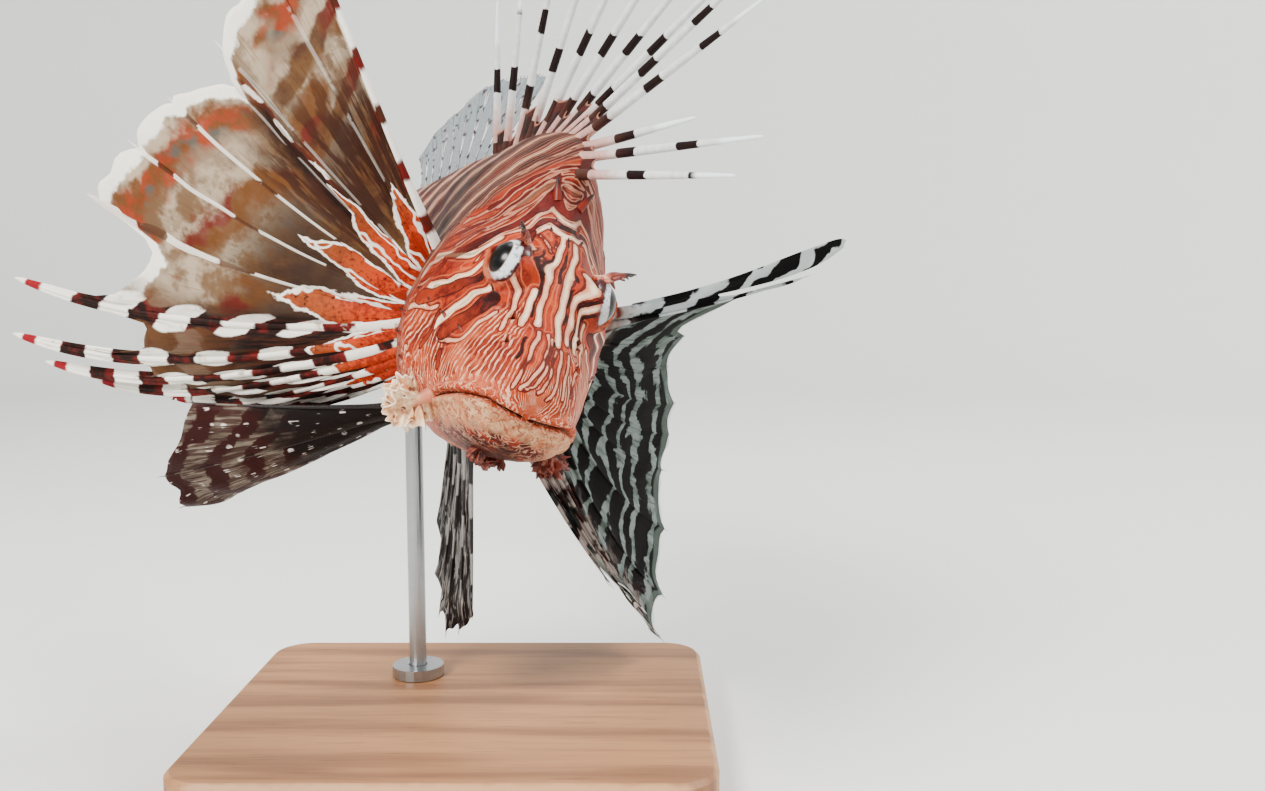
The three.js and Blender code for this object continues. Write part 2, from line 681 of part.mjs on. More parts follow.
function baseSolid() {
  const x = BASE_LENGTH / 2 - BASE_EDGE;
  const y = BASE_WIDTH / 2 - BASE_EDGE;
  const r = BASE_CORNER;
  const outline = new THREE.Shape();
  outline.moveTo(-x + r, -y);
  outline.lineTo(x - r, -y);
  outline.absarc(x - r, -y + r, r, -Math.PI / 2, 0);
  outline.lineTo(x, y - r);
  outline.absarc(x - r, y - r, r, 0, Math.PI / 2);
  outline.lineTo(-x + r, y);
  outline.absarc(-x + r, y - r, r, Math.PI / 2, Math.PI);
  outline.lineTo(-x, -y + r);
  outline.absarc(-x + r, -y + r, r, Math.PI, Math.PI * 1.5);
  const slab = new THREE.ExtrudeGeometry(outline, {
    depth: BASE_HEIGHT - 2 * BASE_EDGE,
    bevelThickness: BASE_EDGE,
    bevelSize: BASE_EDGE,
    bevelSegments: 1,
    curveSegments: 4,
  });
  slab.translate(0, 0, BASE_EDGE);
  return toSolid(slab).subtract(uprightCylinder(ROD_RADIUS + GAP, BASE_HEIGHT - ROD_SINK, BASE_HEIGHT + 1));
}

// A cylinder that stands on the rod's axis
function uprightCylinder(radius, bottom, top) {
  const cylinder = new THREE.CylinderGeometry(radius, radius, top - bottom, ROD_SIDES);
  cylinder.rotateX(Math.PI / 2);
  cylinder.translate(...ROD_PLACE, (bottom + top) / 2);
  return toSolid(cylinder);
}

// Assembly

function finish(color, roughness, metalness = 0) {
  return new THREE.MeshStandardMaterial({ color, roughness, metalness });
}

const SKIN = finish(0xa8442a, 0.45);
const JAW = finish(0xd9a58a, 0.45);
const WEB = finish(0xb98d78, 0.5);
const DARK_WEB = finish(0x4a2f2b, 0.5);
const FLAP = finish(0xd08f74, 0.55);
const EYE = finish(0x1a1614, 0.1);
const BASE_WOOD = finish(0x6b4a30, 0.5);
const STEEL = finish(0xb8b8b8, 0.3, 0.9);

function addMesh(group, name, solid, material) {
  const mesh = new THREE.Mesh(toGeometry(solid), material);
  mesh.name = name;
  group.add(mesh);
}

const fish = new THREE.Group();
fish.position.set(...JAW_TIP);
fish.rotation.set(radians(BANK), radians(NOSE_DOWN), radians(HEADING), 'ZYX');
fish.updateMatrixWorld(true);

const toFish = fish.matrixWorld.clone().invert();
const rodHole = toSolid(toGeometry(uprightCylinder(ROD_RADIUS + GAP, BASE_HEIGHT, ROD_TOP + GAP))
  .applyMatrix4(toFish));
const pieces = bodyPieces(rodHole);
for (const name of ['head', 'lower_jaw', 'torso', 'tail_root']) {
  addMesh(fish, name, pieces[name], name === 'lower_jaw' ? JAW : SKIN);
}

const clearance = bodySolid(GAP);
const seat = (geometry) => largestPiece(toSolid(geometry).subtract(clearance));
for (const [label, shape] of Object.entries(PECTORAL_SHAPE)) {
  addMesh(fish, `pectoral_fin_${label}`, seat(pectoralFin(shape)), WEB);
}
for (const [label, shape] of Object.entries(PELVIC_SHAPE)) {
  addMesh(fish, `pelvic_fin_${label}`, seat(pelvicFin(shape)), DARK_WEB);
}
addMesh(fish, 'spiny_dorsal_fin', seat(middleFin(SPINY_DORSAL)), WEB);
addMesh(fish, 'soft_dorsal_fin', seat(middleFin(SOFT_DORSAL)), WEB);
addMesh(fish, 'anal_fin', seat(middleFin(ANAL)), WEB);
addMesh(fish, 'caudal_fin', seat(caudalFin()), WEB);

for (const side of [-1, 1]) {
  const label = side > 0 ? 'left' : 'right';
  const orbit = toSolid(sphere(eyeCentre(side), EYE_RADIUS + ORBIT_RIM + GAP));
  addMesh(fish, `eye_${label}`, toSolid(sphere(eyeCentre(side), EYE_RADIUS)), EYE);
  const brow = browTentacle(side).subtract(clearance).subtract(orbit);
  addMesh(fish, `brow_tentacle_${label}`, largestPiece(brow), FLAP);
  addMesh(fish, `cheek_tentacle_${label}`, largestPiece(cheekTentacle(side).subtract(clearance)), FLAP);
}

const stand = new THREE.Group();
addMesh(stand, 'stand_base', baseSolid(), BASE_WOOD);
addMesh(stand, 'stand_rod', uprightCylinder(ROD_RADIUS, BASE_HEIGHT - ROD_SINK + GAP, ROD_TOP), STEEL);
const collar = uprightCylinder(COLLAR_RADIUS, BASE_HEIGHT + GAP, BASE_HEIGHT + COLLAR_HEIGHT);
const collarHole = uprightCylinder(ROD_RADIUS + GAP, BASE_HEIGHT - 1, BASE_HEIGHT + COLLAR_HEIGHT + 1);
addMesh(stand, 'stand_collar', collar.subtract(collarHole), STEEL);

const lionfish = new THREE.Group();
lionfish.add(fish, stand);

export default lionfish;
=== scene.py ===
import math
import bpy
import numpy as np
from mathutils import Matrix, Vector


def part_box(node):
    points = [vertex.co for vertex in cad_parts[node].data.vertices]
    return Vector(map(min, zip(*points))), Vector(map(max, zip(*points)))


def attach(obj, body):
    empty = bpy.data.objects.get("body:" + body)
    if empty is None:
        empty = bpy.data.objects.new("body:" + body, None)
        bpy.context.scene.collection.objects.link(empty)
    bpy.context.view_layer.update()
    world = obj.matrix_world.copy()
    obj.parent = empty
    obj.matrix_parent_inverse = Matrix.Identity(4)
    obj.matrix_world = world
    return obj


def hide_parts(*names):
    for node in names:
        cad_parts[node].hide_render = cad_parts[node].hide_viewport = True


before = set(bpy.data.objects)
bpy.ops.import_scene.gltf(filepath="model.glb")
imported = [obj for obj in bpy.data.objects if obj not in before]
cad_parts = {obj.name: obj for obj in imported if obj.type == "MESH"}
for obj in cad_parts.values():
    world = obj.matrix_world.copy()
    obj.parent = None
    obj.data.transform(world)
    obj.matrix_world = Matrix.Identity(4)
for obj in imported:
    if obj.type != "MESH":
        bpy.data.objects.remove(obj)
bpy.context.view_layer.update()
print("frame loaded:", len(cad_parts), "nodes")

# The fish is worked out in millimetres from the tip of its upper jaw: nose +X, left side +Y, back +Z.
# pose turns and lifts it over the stand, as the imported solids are.
pose = {"heading": -78, "noseDown": 14.9, "bank": -25, "jawTip": (32, -112, 124)}
turned = np.array(
    Matrix.Rotation(math.radians(pose["heading"]), 3, "Z")
    @ Matrix.Rotation(math.radians(pose["noseDown"]), 3, "Y")
    @ Matrix.Rotation(math.radians(pose["bank"]), 3, "X")
)
fullTurn = 2 * math.pi


def toRow(points):
    return (np.asarray(points, float) @ turned.T + np.array(pose["jawTip"], float)) / 1000


def unit(v):
    v = np.asarray(v, float)
    return v / np.maximum(np.linalg.norm(v, axis=-1, keepdims=True), 1e-9)


def ease(low, high, x):
    t = np.clip((np.asarray(x, float) - low) / (high - low), 0, 1)
    return t * t * (3 - 2 * t)


def bell(x, width):
    return np.exp(-((np.asarray(x, float) / width) ** 2))


# a smooth value at u through rows of [u, value, value, ...]
def smooth(table, u, column=1):
    rows = np.asarray(table, float)
    x, y = rows[:, 0], rows[:, column]
    u = np.clip(np.asarray(u, float), x[0], x[-1])
    i = np.clip(np.searchsorted(x, u, side="left") - 1, 0, len(x) - 2)
    slopes = np.diff(y) / np.diff(x)
    knots = np.concatenate([slopes[:1], (slopes[:-1] + slopes[1:]) / 2, slopes[-1:]])
    span = x[i + 1] - x[i]
    t = (u - x[i]) / span
    rise = t * t * (3 - 2 * t)
    return y[i] * (1 - rise) + y[i + 1] * rise + span * t * (1 - t) * ((1 - t) * knots[i] - t * knots[i + 1])


def rowAt(table, u):
    return [smooth(table, u, column) for column in range(1, len(table[0]))]


# a soft uneven wave over points, made of a few seeded sines
def waver(points, size, seed, sines=7):
    rng = np.random.default_rng(seed)
    points = np.asarray(points, float)
    total = np.zeros(points.shape[:-1])
    for _ in range(sines):
        way = unit(rng.normal(size=points.shape[-1])) * rng.uniform(0.6, 1.6)
        total += np.sin(points @ way * (fullTurn / size) + rng.uniform(0, 6.28))
    return total / (sines / 2)


# Meshes

def addValues(mesh, values):
    for key, data in values.items():
        attribute = mesh.attributes.new(key, "FLOAT", "POINT")
        attribute.data.foreach_set("value", np.asarray(data, np.float32).ravel())


def linked(name, data):
    made = bpy.data.objects.new(name, data)
    bpy.context.scene.collection.objects.link(made)
    return made


def meshPiece(name, points, faces, values, material):
    mesh = bpy.data.meshes.new(name)
    mesh.from_pydata(toRow(points).tolist(), [], [tuple(int(i) for i in f) for f in faces])
    addValues(mesh, values)
    mesh.materials.append(material)
    mesh.shade_smooth()
    mesh.update()
    return linked(name, mesh)


# a closed sheet from a grid of points (columns x rows), its half thickness and its values there
def sheetArrays(grid, half, values):
    columns, rows = grid.shape[:2]
    count = columns * rows
    normal = unit(np.cross(np.gradient(grid, axis=0), np.gradient(grid, axis=1)))
    rise = normal * np.broadcast_to(half, (columns, rows))[..., None]
    index = np.arange(count).reshape(columns, rows)
    a = index[:-1, :-1].ravel()
    front = np.stack([a, a + rows, a + rows + 1, a + 1], axis=1)
    rim = np.concatenate([index[:, 0], index[-1, 1:], index[-2::-1, -1], index[0, -2:0:-1]])
    after = np.roll(rim, -1)
    sides = np.stack([after, rim, rim + count, after + count], axis=1)
    points = np.concatenate([(grid + rise).reshape(-1, 3), (grid - rise).reshape(-1, 3)])
    values = {key: np.tile(np.broadcast_to(v, (columns, rows)).ravel(), 2) for key, v in values.items()}
    return points, np.concatenate([front, front[:, ::-1] + count, sides]), values


# several sheets as the points, faces and values of one mesh
def gathered(sheets):
    points, faces, values = zip(*sheets)
    starts = np.cumsum([0] + [len(p) for p in points])
    return (np.concatenate(points), np.concatenate([f + start for f, start in zip(faces, starts)]),
            {key: np.concatenate([v[key] for v in values]) for key in values[0]})


# faces of a closed form of rings, with one more point before the first ring and one behind the last
def ringFaces(rings, columns, flip=False):
    ring, column = np.meshgrid(np.arange(rings - 1), np.arange(columns), indexing="ij")
    a = (ring * columns + column).ravel()
    b = (ring * columns + (column + 1) % columns).ravel()
    faces = np.stack([a, b, b + columns, a + columns], axis=1).tolist()
    tip, last = rings * columns, (rings - 1) * columns
    for k in range(columns):
        after = (k + 1) % columns
        faces += [(tip, after, k), (tip + 1, last + k, last + after)]
    return [(f[0], *f[:0:-1]) for f in faces] if flip else faces


# Geometry Nodes: round tapered tubes along drawn lines, for rays, spines, thorns and tentacles

def tubeTree():
    tree = bpy.data.node_groups.new("taperedTubes", "GeometryNodeTree")
    for name, way, kind in (("Geometry", "INPUT", "Geometry"), ("Sides", "INPUT", "Int"),
                            ("Stoutness", "INPUT", "Float"), ("Finish", "INPUT", "Material"),
                            ("Geometry", "OUTPUT", "Geometry")):
        tree.interface.new_socket(name, in_out=way, socket_type="NodeSocket" + kind)
    start, lines, profile, tube, thick, size, shade, real, finish, end = (tree.nodes.new(kind) for kind in (
        "NodeGroupInput", "GeometryNodeMeshToCurve", "GeometryNodeCurvePrimitiveCircle",
        "GeometryNodeCurveToMesh", "GeometryNodeInputNamedAttribute", "ShaderNodeMath",
        "GeometryNodeSetShadeSmooth", "GeometryNodeRealizeInstances", "GeometryNodeSetMaterial",
        "NodeGroupOutput"))
    thick.data_type, size.operation = "FLOAT", "MULTIPLY"
    thick.inputs["Name"].default_value = "thick"
    profile.inputs["Radius"].default_value = 1
    tube.inputs["Fill Caps"].default_value = True
    for source, out, target, into in (
        (start, "Geometry", lines, "Mesh"), (start, "Sides", profile, "Resolution"),
        (lines, 0, tube, "Curve"), (profile, 0, tube, "Profile Curve"), (thick, "Attribute", size, 0),
        (start, "Stoutness", size, 1), (size, 0, tube, "Scale"), (tube, 0, shade, 0), (shade, 0, real, 0),
        (real, 0, finish, "Geometry"), (start, "Finish", finish, "Material"), (finish, 0, end, 0),
    ):
        tree.links.new(source.outputs[out], target.inputs[into])
    return tree


tapered = tubeTree()


# lines: a list of (points, radii, values), in millimetres
def tubes(name, lines, material, sides=8):
    paths, radii, values = zip(*lines)
    ends = np.cumsum([len(path) for path in paths])
    edges = [(i, i + 1) for end, path in zip(ends, paths) for i in range(end - len(path), end - 1)]
    mesh = bpy.data.meshes.new(name)
    mesh.from_pydata(toRow(np.concatenate(paths)).tolist(), edges, [])
    for key in values[0]:
        parts = [np.broadcast_to(v[key], len(path)) for v, path in zip(values, paths)]
        addValues(mesh, {key: np.concatenate(parts)})
    addValues(mesh, {"thick": np.concatenate(radii) / 1000})
    drawn = linked(name + "Lines", mesh)
    modifier = drawn.modifiers.new("tubes", "NODES")
    modifier.node_group = tapered
    named = {s.name: s.identifier for s in tapered.interface.items_tree if s.in_out == "INPUT"}
    for key, value in (("Sides", sides), ("Stoutness", 1.0), ("Finish", material)):
        modifier[named[key]] = value
    result = bpy.data.meshes.new_from_object(drawn.evaluated_get(bpy.context.evaluated_depsgraph_get()))
    drawn.modifiers.remove(modifier)
    bpy.data.objects.remove(drawn)
    result.name = name
    return linked(name, result)


def joined(name, parts):
    bpy.ops.object.select_all(action="DESELECT")
    for part in parts:
        part.select_set(True)
    bpy.context.view_layer.objects.active = parts[0]
    bpy.ops.object.join()
    parts[0].name = parts[0].data.name = name
    return parts[0]


# Shader maths: a wire is a socket that can be used in sums

class Wire:
    def __init__(self, sheet, socket):
        self.sheet, self.socket = sheet, socket

    def sum(self, operation, *terms):
        return self.sheet.node("ShaderNodeMath", {"operation": operation}, dict(enumerate(terms)))

    def __add__(self, other): return self.sum("ADD", self, other)
    def __radd__(self, other): return self.sum("ADD", other, self)
    def __sub__(self, other): return self.sum("SUBTRACT", self, other)
    def __rsub__(self, other): return self.sum("SUBTRACT", other, self)
    def __mul__(self, other): return self.sum("MULTIPLY", self, other)
    def __rmul__(self, other): return self.sum("MULTIPLY", other, self)
    def __truediv__(self, other): return self.sum("DIVIDE", self, other)
    def __rtruediv__(self, other): return self.sum("DIVIDE", other, self)

    def least(self, other): return self.sum("MINIMUM", self, other)
    def most(self, other): return self.sum("MAXIMUM", self, other)
    def sine(self): return self.sum("SINE", self)
    def size(self): return self.sum("ABSOLUTE", self)
    def part(self): return self.sum("FRACT", self)
    def whole(self): return self.sum("FLOOR", self)

    # a noise as a stray to both sides, and a steady stray for each whole number
    def stray(self, amount): return (self - 0.5) * amount
    def steps(self, amount): return ((self.whole() * 12.9898).sine() * 437.585).part().stray(amount)

    # 1 at a whole number, 0 half way to the next
    def nearWhole(self): return (self.part() - 0.5).size() * 2

    def beat(self, period, phase=None):
        angle = self * (fullTurn / period)
        return (angle if phase is None else angle + phase).sine()

    # 0 below low, 1 above high, smooth between; low may be the greater
    def rise(self, low, high):
        if low > high:
            return 1 - self.rise(high, low)
        return self.sheet.node("ShaderNodeMapRange", {"interpolation_type": "SMOOTHSTEP"},
                               {"Value": self, "From Min": low, "From Max": high})

    # a rise from a to b times a fall from c to d
    def band(self, a, b, c, d): return self.rise(a, b) * self.rise(d, c)


# tones: the colours that this material's mixes may call by name
class Sheet:
    def __init__(self, name, tones=None):
        self.tones = tones or {}
        self.material = bpy.data.materials.new(name)
        self.material.use_nodes = True
        self.tree = self.material.node_tree
        self.surface = self.tree.nodes["Principled BSDF"]

    # settings come first, such as an operation, then values or wires for the sockets
    def node(self, kind, settings=None, sockets=None, out=None):
        made = self.tree.nodes.new(kind)
        for key, value in (settings or {}).items():
            setattr(made, key, value)
        for key, value in (sockets or {}).items():
            self.feed(made.inputs[key], value)
        return Wire(self, next(o for o in made.outputs if o.enabled) if out is None else made.outputs[out])

    def feed(self, socket, value):
        if isinstance(value, Wire):
            self.tree.links.new(value.socket, socket)
        elif isinstance(value, str):
            socket.default_value = (*tone(self.tones.get(value, value)), 1)
        else:
            socket.default_value = value

    def mix(self, factor, a, b):
        return self.node("ShaderNodeMix", {"data_type": "RGBA"}, {0: factor, 6: a, 7: b}, 2)

    # layers of (factor, colour) laid over a colour, one after another
    def over(self, base, *layers):
        for factor, top in layers:
            base = self.mix(factor, base, top)
        return base

    def value(self, name):
        return self.node("ShaderNodeAttribute", {"attribute_name": name}, {}, "Fac")

    def values(self, *names):
        return [self.value(name) for name in names]

    def place(self):
        return self.node("ShaderNodeTexCoord", {}, {}, "Object")

    def noise(self, scale, detail=2.0, roughness=0.5, vector=None, distortion=0.0):
        sockets = {"Vector": vector or self.place(), "Scale": scale, "Detail": detail, "Roughness": roughness,
                   "Distortion": distortion}
        return self.node("ShaderNodeTexNoise", {}, sockets, "Fac")

    # noise over a place of its own: streaks along the rays of a fin, or grain drawn out along an axis
    def streaks(self, x, y, z=0.0, detail=2, roughness=0.6):
        return self.noise(1.0, detail, roughness, self.node("ShaderNodeCombineXYZ", {}, {0: x, 1: y, 2: z}))

    def grain(self, factors, detail, roughness):
        drawnOut = self.node("ShaderNodeVectorMath", {"operation": "MULTIPLY"}, {0: self.place(), 1: factors})
        return self.noise(1.0, detail, roughness, drawnOut)

    def cells(self, scale):
        return self.node("ShaderNodeTexVoronoi", {}, {"Vector": self.place(), "Scale": scale}, "Distance")

    # bump is a height, its distance in metres and its strength
    def finish(self, colour, roughness, specular, bump=None, others=None):
        sockets = {"Base Color": colour, "Roughness": roughness, "Specular IOR Level": specular}
        sockets.update(others or {})
        if bump:
            height, distance, strength = bump
            sockets["Normal"] = self.node("ShaderNodeBump", {}, {"Height": height, "Distance": distance,
                                                                 "Strength": strength})
        for key, value in sockets.items():
            self.feed(self.surface.inputs[key], value)
        return self.material


def tone(code):
    parts = [int(code[i:i + 2], 16) / 255 for i in (1, 3, 5)]
    return tuple(c / 12.92 if c <= 0.04045 else ((c + 0.055) / 1.055) ** 2.4 for c in parts)


# Body

body = {
    # distance from the snout, back, belly, half width, widest level, pinch of the upper half
    "stations": [
        [0, 1, -7.5, 5.5, -3.5, 1], [1.5, 3.5, -12, 9.5, -5, 1], [5, 7, -16, 12.5, -6.5, 1],
        [10, 10.8, -18.8, 15, -8, 1.05], [17, 14.8, -22, 17.3, -9, 1.1], [25, 21.5, -25.3, 19.3, -9, 1.2],
        [33, 27.5, -28.5, 21.6, -8, 1.3], [42, 32, -31.5, 24.2, -7, 1.35], [52, 36, -34.3, 26.3, -5.5, 1.4],
        [60, 41.5, -36.3, 26.4, -5, 1.5], [68, 49.5, -38, 25.8, -4.5, 1.6], [78, 53, -39.5, 24.8, -4, 1.6],
        [95, 52, -40.3, 23, -3, 1.45], [120, 42.5, -36, 19.5, -1, 1.3], [150, 30, -27.5, 14.5, 1.5, 1.15],
        [175, 22, -18.5, 10, 3, 1.05], [200, 16.5, -10.5, 6.6, 3.2, 1], [218, 16, -9, 5, 3.2, 1],
        [228, 15.5, -8.5, 2.6, 3.2, 1],
    ],
    "tip": -0.7, "rounded": 1.5, "tipLevel": -4, "headEnd": 67, "end": 228,
    "headStep": 0.46, "bodyStep": 1.3, "columns": 300, "aboveMouth": 92,
    "sway": 22, "swayStart": 70, "swaySpan": 158, "droop": 26, "droopStart": 95, "droopSpan": 133,
    "mouthDepth": 21.5, "mouthFront": -3, "mouthCorner": -14.5,
    "gillEdge": [[-46, 61], [-26, 70], [-12, 75], [2, 75], [18, 70], [34, 62], [60, 57]],
    "eye": (-34, 9.8, 20.6), "eyeAxis": (0.58, 0.8, 0.14), "eyeRadius": 7.2, "orbit": 8.5, "opening": 4.95,
    "nostrils": [(12.5, 8.2), (19, 12.5)],
    # bony ridges under the eye, along the cheek and over the nape: height, width and stroke
    "ridges": [(0.8, 2.0, "24,46 31,56 40,62 50,66 60,70 0,0"), (0.6, 2.0, "42,108 48,98 55,84 58,72 0,0"),
               (0.7, 2.2, "36,18 44,21 53,23 62,24 0,0"), (0.5, 1.6, "20,22 27,20 32,19 0,0")],
    # how far the fine lines of the face slip forwards with the angle from the back
    "flow": [[0, -20], [10, -12], [20, -5], [30, 0], [40, 3.3], [50, 5.6], [60, 7.2], [70, 8.5], [80, 10.6],
             [90, 14], [100, 18], [110, 22], [180, 50]],
    "flowSpacing": 1.9, "cheekSpacing": 2.1, "tailLevel": 3.2,
}
# relief of the skin, in mm: heights and widths of the lips, the gill edge, the nostrils and the unevenness
relief = {
    "lipEnd": (23.5, 19.5), "upperLip": (1.15, 1.1), "lowerLip": (1.0, 1.15), "mouth": (1.7, 0.5),
    "gillTop": (34, 24), "gillStep": 1.1, "gillFade": 7, "gillLip": (0.45, 1.6),
    "nostril": (1.5, 0.75), "nostrilRim": (0.6, 0.55), "uneven": [(0.28, 17, 3), (0.12, 6, 4)],
}


def sway(s):
    return -body["sway"] * ease(0, 1, (np.asarray(s, float) - body["swayStart"]) / body["swaySpan"])


def droop(s):
    behind = (np.asarray(s, float) - body["droopStart"]) / body["droopSpan"]
    return -body["droop"] * np.maximum(0, behind) ** 1.6


def backAt(s): return smooth(body["stations"], s, 1)


def bellyAt(s): return smooth(body["stations"], s, 2)


# a point of the skin, s behind the snout, angle in radians from the back round the left side
def skinPoint(s, angle):
    s, angle = np.broadcast_arrays(np.asarray(s, float), np.asarray(angle, float))
    back, belly, half, widest, pinch = rowAt(body["stations"], np.maximum(s, body["rounded"]))
    t = np.clip((s - body["tip"]) / (body["rounded"] - body["tip"]), 0, 1)
    scale = np.sqrt(np.maximum(0, 1 - (1 - t) ** 2))
    up, out = np.cos(angle), np.sin(angle)
    level = np.where(up > 0, back - widest, widest - belly)
    y = half * np.sign(out) * np.abs(out) ** np.where(up > 0, pinch, 1) * scale
    z = body["tipLevel"] + (widest + level * up - body["tipLevel"]) * scale
    return np.stack([-s, sway(s) + y, droop(s) + z], axis=-1)


def skinNormal(s, angle):
    along = skinPoint(s + 0.5, angle) - skinPoint(s - 0.5, angle)
    turn = skinPoint(s, angle + 0.03) - skinPoint(s, angle - 0.03)
    return unit(np.cross(turn, along))


def angleAtLevel(s, level):
    widest = smooth(body["stations"], s, 4)
    reach = np.where(level > widest, backAt(s) - widest, widest - bellyAt(s))
    return np.arccos(np.clip((level - widest) / reach, -1, 1))


def mouthLevel(s):
    u = np.clip(np.asarray(s, float) / body["mouthDepth"], 0, 1)
    return body["mouthFront"] + (body["mouthCorner"] - body["mouthFront"]) * u ** 1.25


def ringPlaces():
    tip, rounded, headEnd, end = body["tip"], body["rounded"], body["headEnd"], body["end"]
    front = tip + (rounded - tip) * (1 - np.cos(np.linspace(0.12, math.pi / 2, 8)))
    head = np.arange(rounded + 0.35, headEnd, body["headStep"])
    return np.concatenate([front, head, np.linspace(headEnd, end, int((end - headEnd) / body["bodyStep"]))])


def columnAngles(s):
    s, halfCount, above = np.maximum(s, body["rounded"]), body["columns"] // 2, body["aboveMouth"]
    mouth = angleAtLevel(np.minimum(s, body["mouthDepth"]), mouthLevel(s))[:, None]
    k = np.arange(halfCount + 1)
    below = mouth + (k - above) / (halfCount - above) * (math.pi - mouth)
    left = np.where(k <= above, k / above * mouth, below)
    return np.concatenate([left, -left[:, -2:0:-1]], axis=1)


# Markings: each line is a stroke, its points as distance from the snout, degrees from the back, then its half
# width in mm at its start and end. The cheek's are mirrored; the brow's are drawn once, right side negative
markings = {
    "cream": """
66,82 57,70 51,61 46.8,54 46,48 46.5,42 2.1,0.9
49,76 45.5,71 43,66 41,60 40.5,54 41,48 1.6,0.8
36,79 34.5,73 33,66 31.7,59.5 31,54 30,48.5 1.5,1.1
22,43 22,50 22.5,57 22,63 22.5,68 25,74 30,80 0.55,0.6
44,50 43,55 44.5,59 0.35,0.3
62,90 56,82 53,76 0.9,0.5
52,88 48,83 43,80 40,76 1,0.5
56,62 54.5,50 55,40 55.8,36 0.5,0.5
56.5,41 59.5,34 62,26 63,19 0.45,0.5
56.5,41 56.3,34 57.8,26 60.5,19 0.45,0.5
61,14.5 60.2,8 59.9,0 0.3,0.4
60,14.5 58.7,8 58,0 0.3,0.4
61.5,46 65,32 67,16 67.5,0 0.6,0.6
50,58 48,46 47.2,34 48.2,27 51,21.5 54.2,17 0.6,0.6
54.2,17 51.2,12 48.8,7 48.2,0 0.7,1
42.5,38 43,30 43.5,22 45,17 43,10 41.5,0 0.6,1
66,62 63,54 62,46 0.8,0.4
64.4,26 64.6,12 64.2,0 0.4,0.45
58.3,14 56,8 54.8,0 0.3,0.4
62.3,15 61.8,7 61.6,0 0.25,0.3
68,72 62.5,61 59,50 58.4,44 0.35,0.4
64,70 59.5,60 57.2,50 57,45 0.3,0.35
58.4,44 61.2,36 64,27 65.6,17 0.35,0.3
60,72 55.5,64 53.3,56 53,48 53.6,40 55.2,31 57.2,23 0.35,0.35""",
    "dark": """
51,82 46,77 42,70 39,64 36.7,57 35.5,50 34.2,47 2.3,1.9
31,77 29.1,70 27.6,63 26.6,54 26.2,47 2.4,2.6
34,46.5 30,46.2 26,46 0.4,0.4
27,83 24,87 1.2,0.8
52.5,65 50.5,57 49.7,50 50,42 50.7,34 52,27 54.5,21.5 58.5,17 1.6,1.4
58.5,17 55.3,12 52.6,7 51.8,0 1.4,1.9
58.5,17 62.5,17 1.2,0.3
46,30 46,24 48.3,17 46,10 45,0 0.9,1.5
60,84 54,75 51,68 1.2,0.8
37,92 36.5,84 38,76 1,0.8
63,50 66,30 68,15 68.5,0 0.9,0.7
63.4,22 63.3,10 62.9,0 0.25,0.35
65.8,24 65.9,10 65.6,0 0.45,0.6
59.2,14 57.3,8 56.4,0 0.4,0.45
61.7,14.5 61,7 60.75,0 0.25,0.3
66,71 61,60.5 58,50 57.7,44 0.5,0.45
57.7,44 60.4,35 63,26 64.3,18 0.4,0.3
62,72 57.5,63 55.2,55 54.2,48 0.5,0.4""",
    "olive": """
64,79 56,69 50.5,61 46.8,54 46.2,48 0.9,0.4
47.5,74 44.5,69.5 42,63 41,57 0.6,0.35
35,76 33.5,69 32,62 31,53 0.45,0.35
58.3,35 60,28 61.7,21 1,0.8
60.2,11 59.4,6 59.1,0 0.25,0.4""",
    "browCream": """
41.5,-5 38,-7 33,-9.5 28,-11 24,-12 20,-13 16.5,-12 0.75,0.9
42,-23 40,-20 37.5,-17 35,-15 0.3,0.4
41.5,-12 39,-12.5 36.5,-12 0.3,0.2
33,-16.5 29,-13.5 25,-13.5 0.25,0.2
24.5,-21 21,-23 16.5,-24.5 1.1,1
37,-25 32,-27 28,-30.5 24,-33 20,-35 16.5,-40 0.75,0.45
14.5,-10 10.5,-13.5 8,-16.5 5,-21 2.5,-28 0.8,-38 0.42,0.45
14,-2 10,-1 7,-2.5 4.5,-7 2,-15 0.5,-26 0.42,0.4
13,3 9,2.5 6,2 3.5,-1 1.2,-8 0.3,-18 0.4,0.35
11,9 8,8 4,8 1.3,5 0.3,0 0.35,0.3
41,12 36,11.5 31,9 26,7.5 21,7.5 16.5,9 13,10 0.95,1
34,21 30,18.5 25,17.5 20,18 15.5,19 0.9,0.8
29.5,26.5 27,26 24,26 19,27 15.5,29 0.9,0.75
25,34.5 22,34.5 18,37 14,41 0.6,0.5
12,15 8,17 4,20 1.5,22 0.3,18 0.4,0.35
13,24 9,26.5 5,32 3,37 0.45,0.4
13,34 9,38 6,44 0.45,0.4""",
    "browDark": """
44,-27 41.5,-30 39.5,-34 1.5,1.2
36,-19 33,-17.5 30,-15.5 26,-16 22,-18.5 18.5,-18.5 0.35,0.3
34,-12.5 31,-13 28,-14 0.25,0.2
33,14 29,13 25,12.5 19,13.5 0.22,0.3
30,23 25,22 20,23 16,24.5 0.3,0.35
28,30.5 23,30 18,32 0.3,0.35
41.5,3 37,1.5 32,-1 27,-2 0.3,0.3
12.5,6 10,5.5 0.35,0.25
12,-20 9,-24.5 7,-29 0.3,0.25""",
}
# bars of the trunk: distance from the snout and half width, cream then maroon
trunkBars = {
    "cream": [(70, 0.7), (74, 0.7), (82, 1.5), (94, 1.5), (108.5, 2.6), (124, 2.4), (139, 2.3), (153, 2),
              (166, 1.8), (178, 1.6), (189, 1.4), (200, 1.3), (211, 1.2), (221, 1.1)],
    "dark": [(72, 0.6), (77.5, 1.5), (88, 2.2), (101, 2.4), (116.5, 2.5), (131.5, 2.4), (146, 2.2),
             (159.5, 2), (172, 1.8), (183.5, 1.6), (194.5, 1.4), (205.5, 1.3), (216, 1.2)],
}


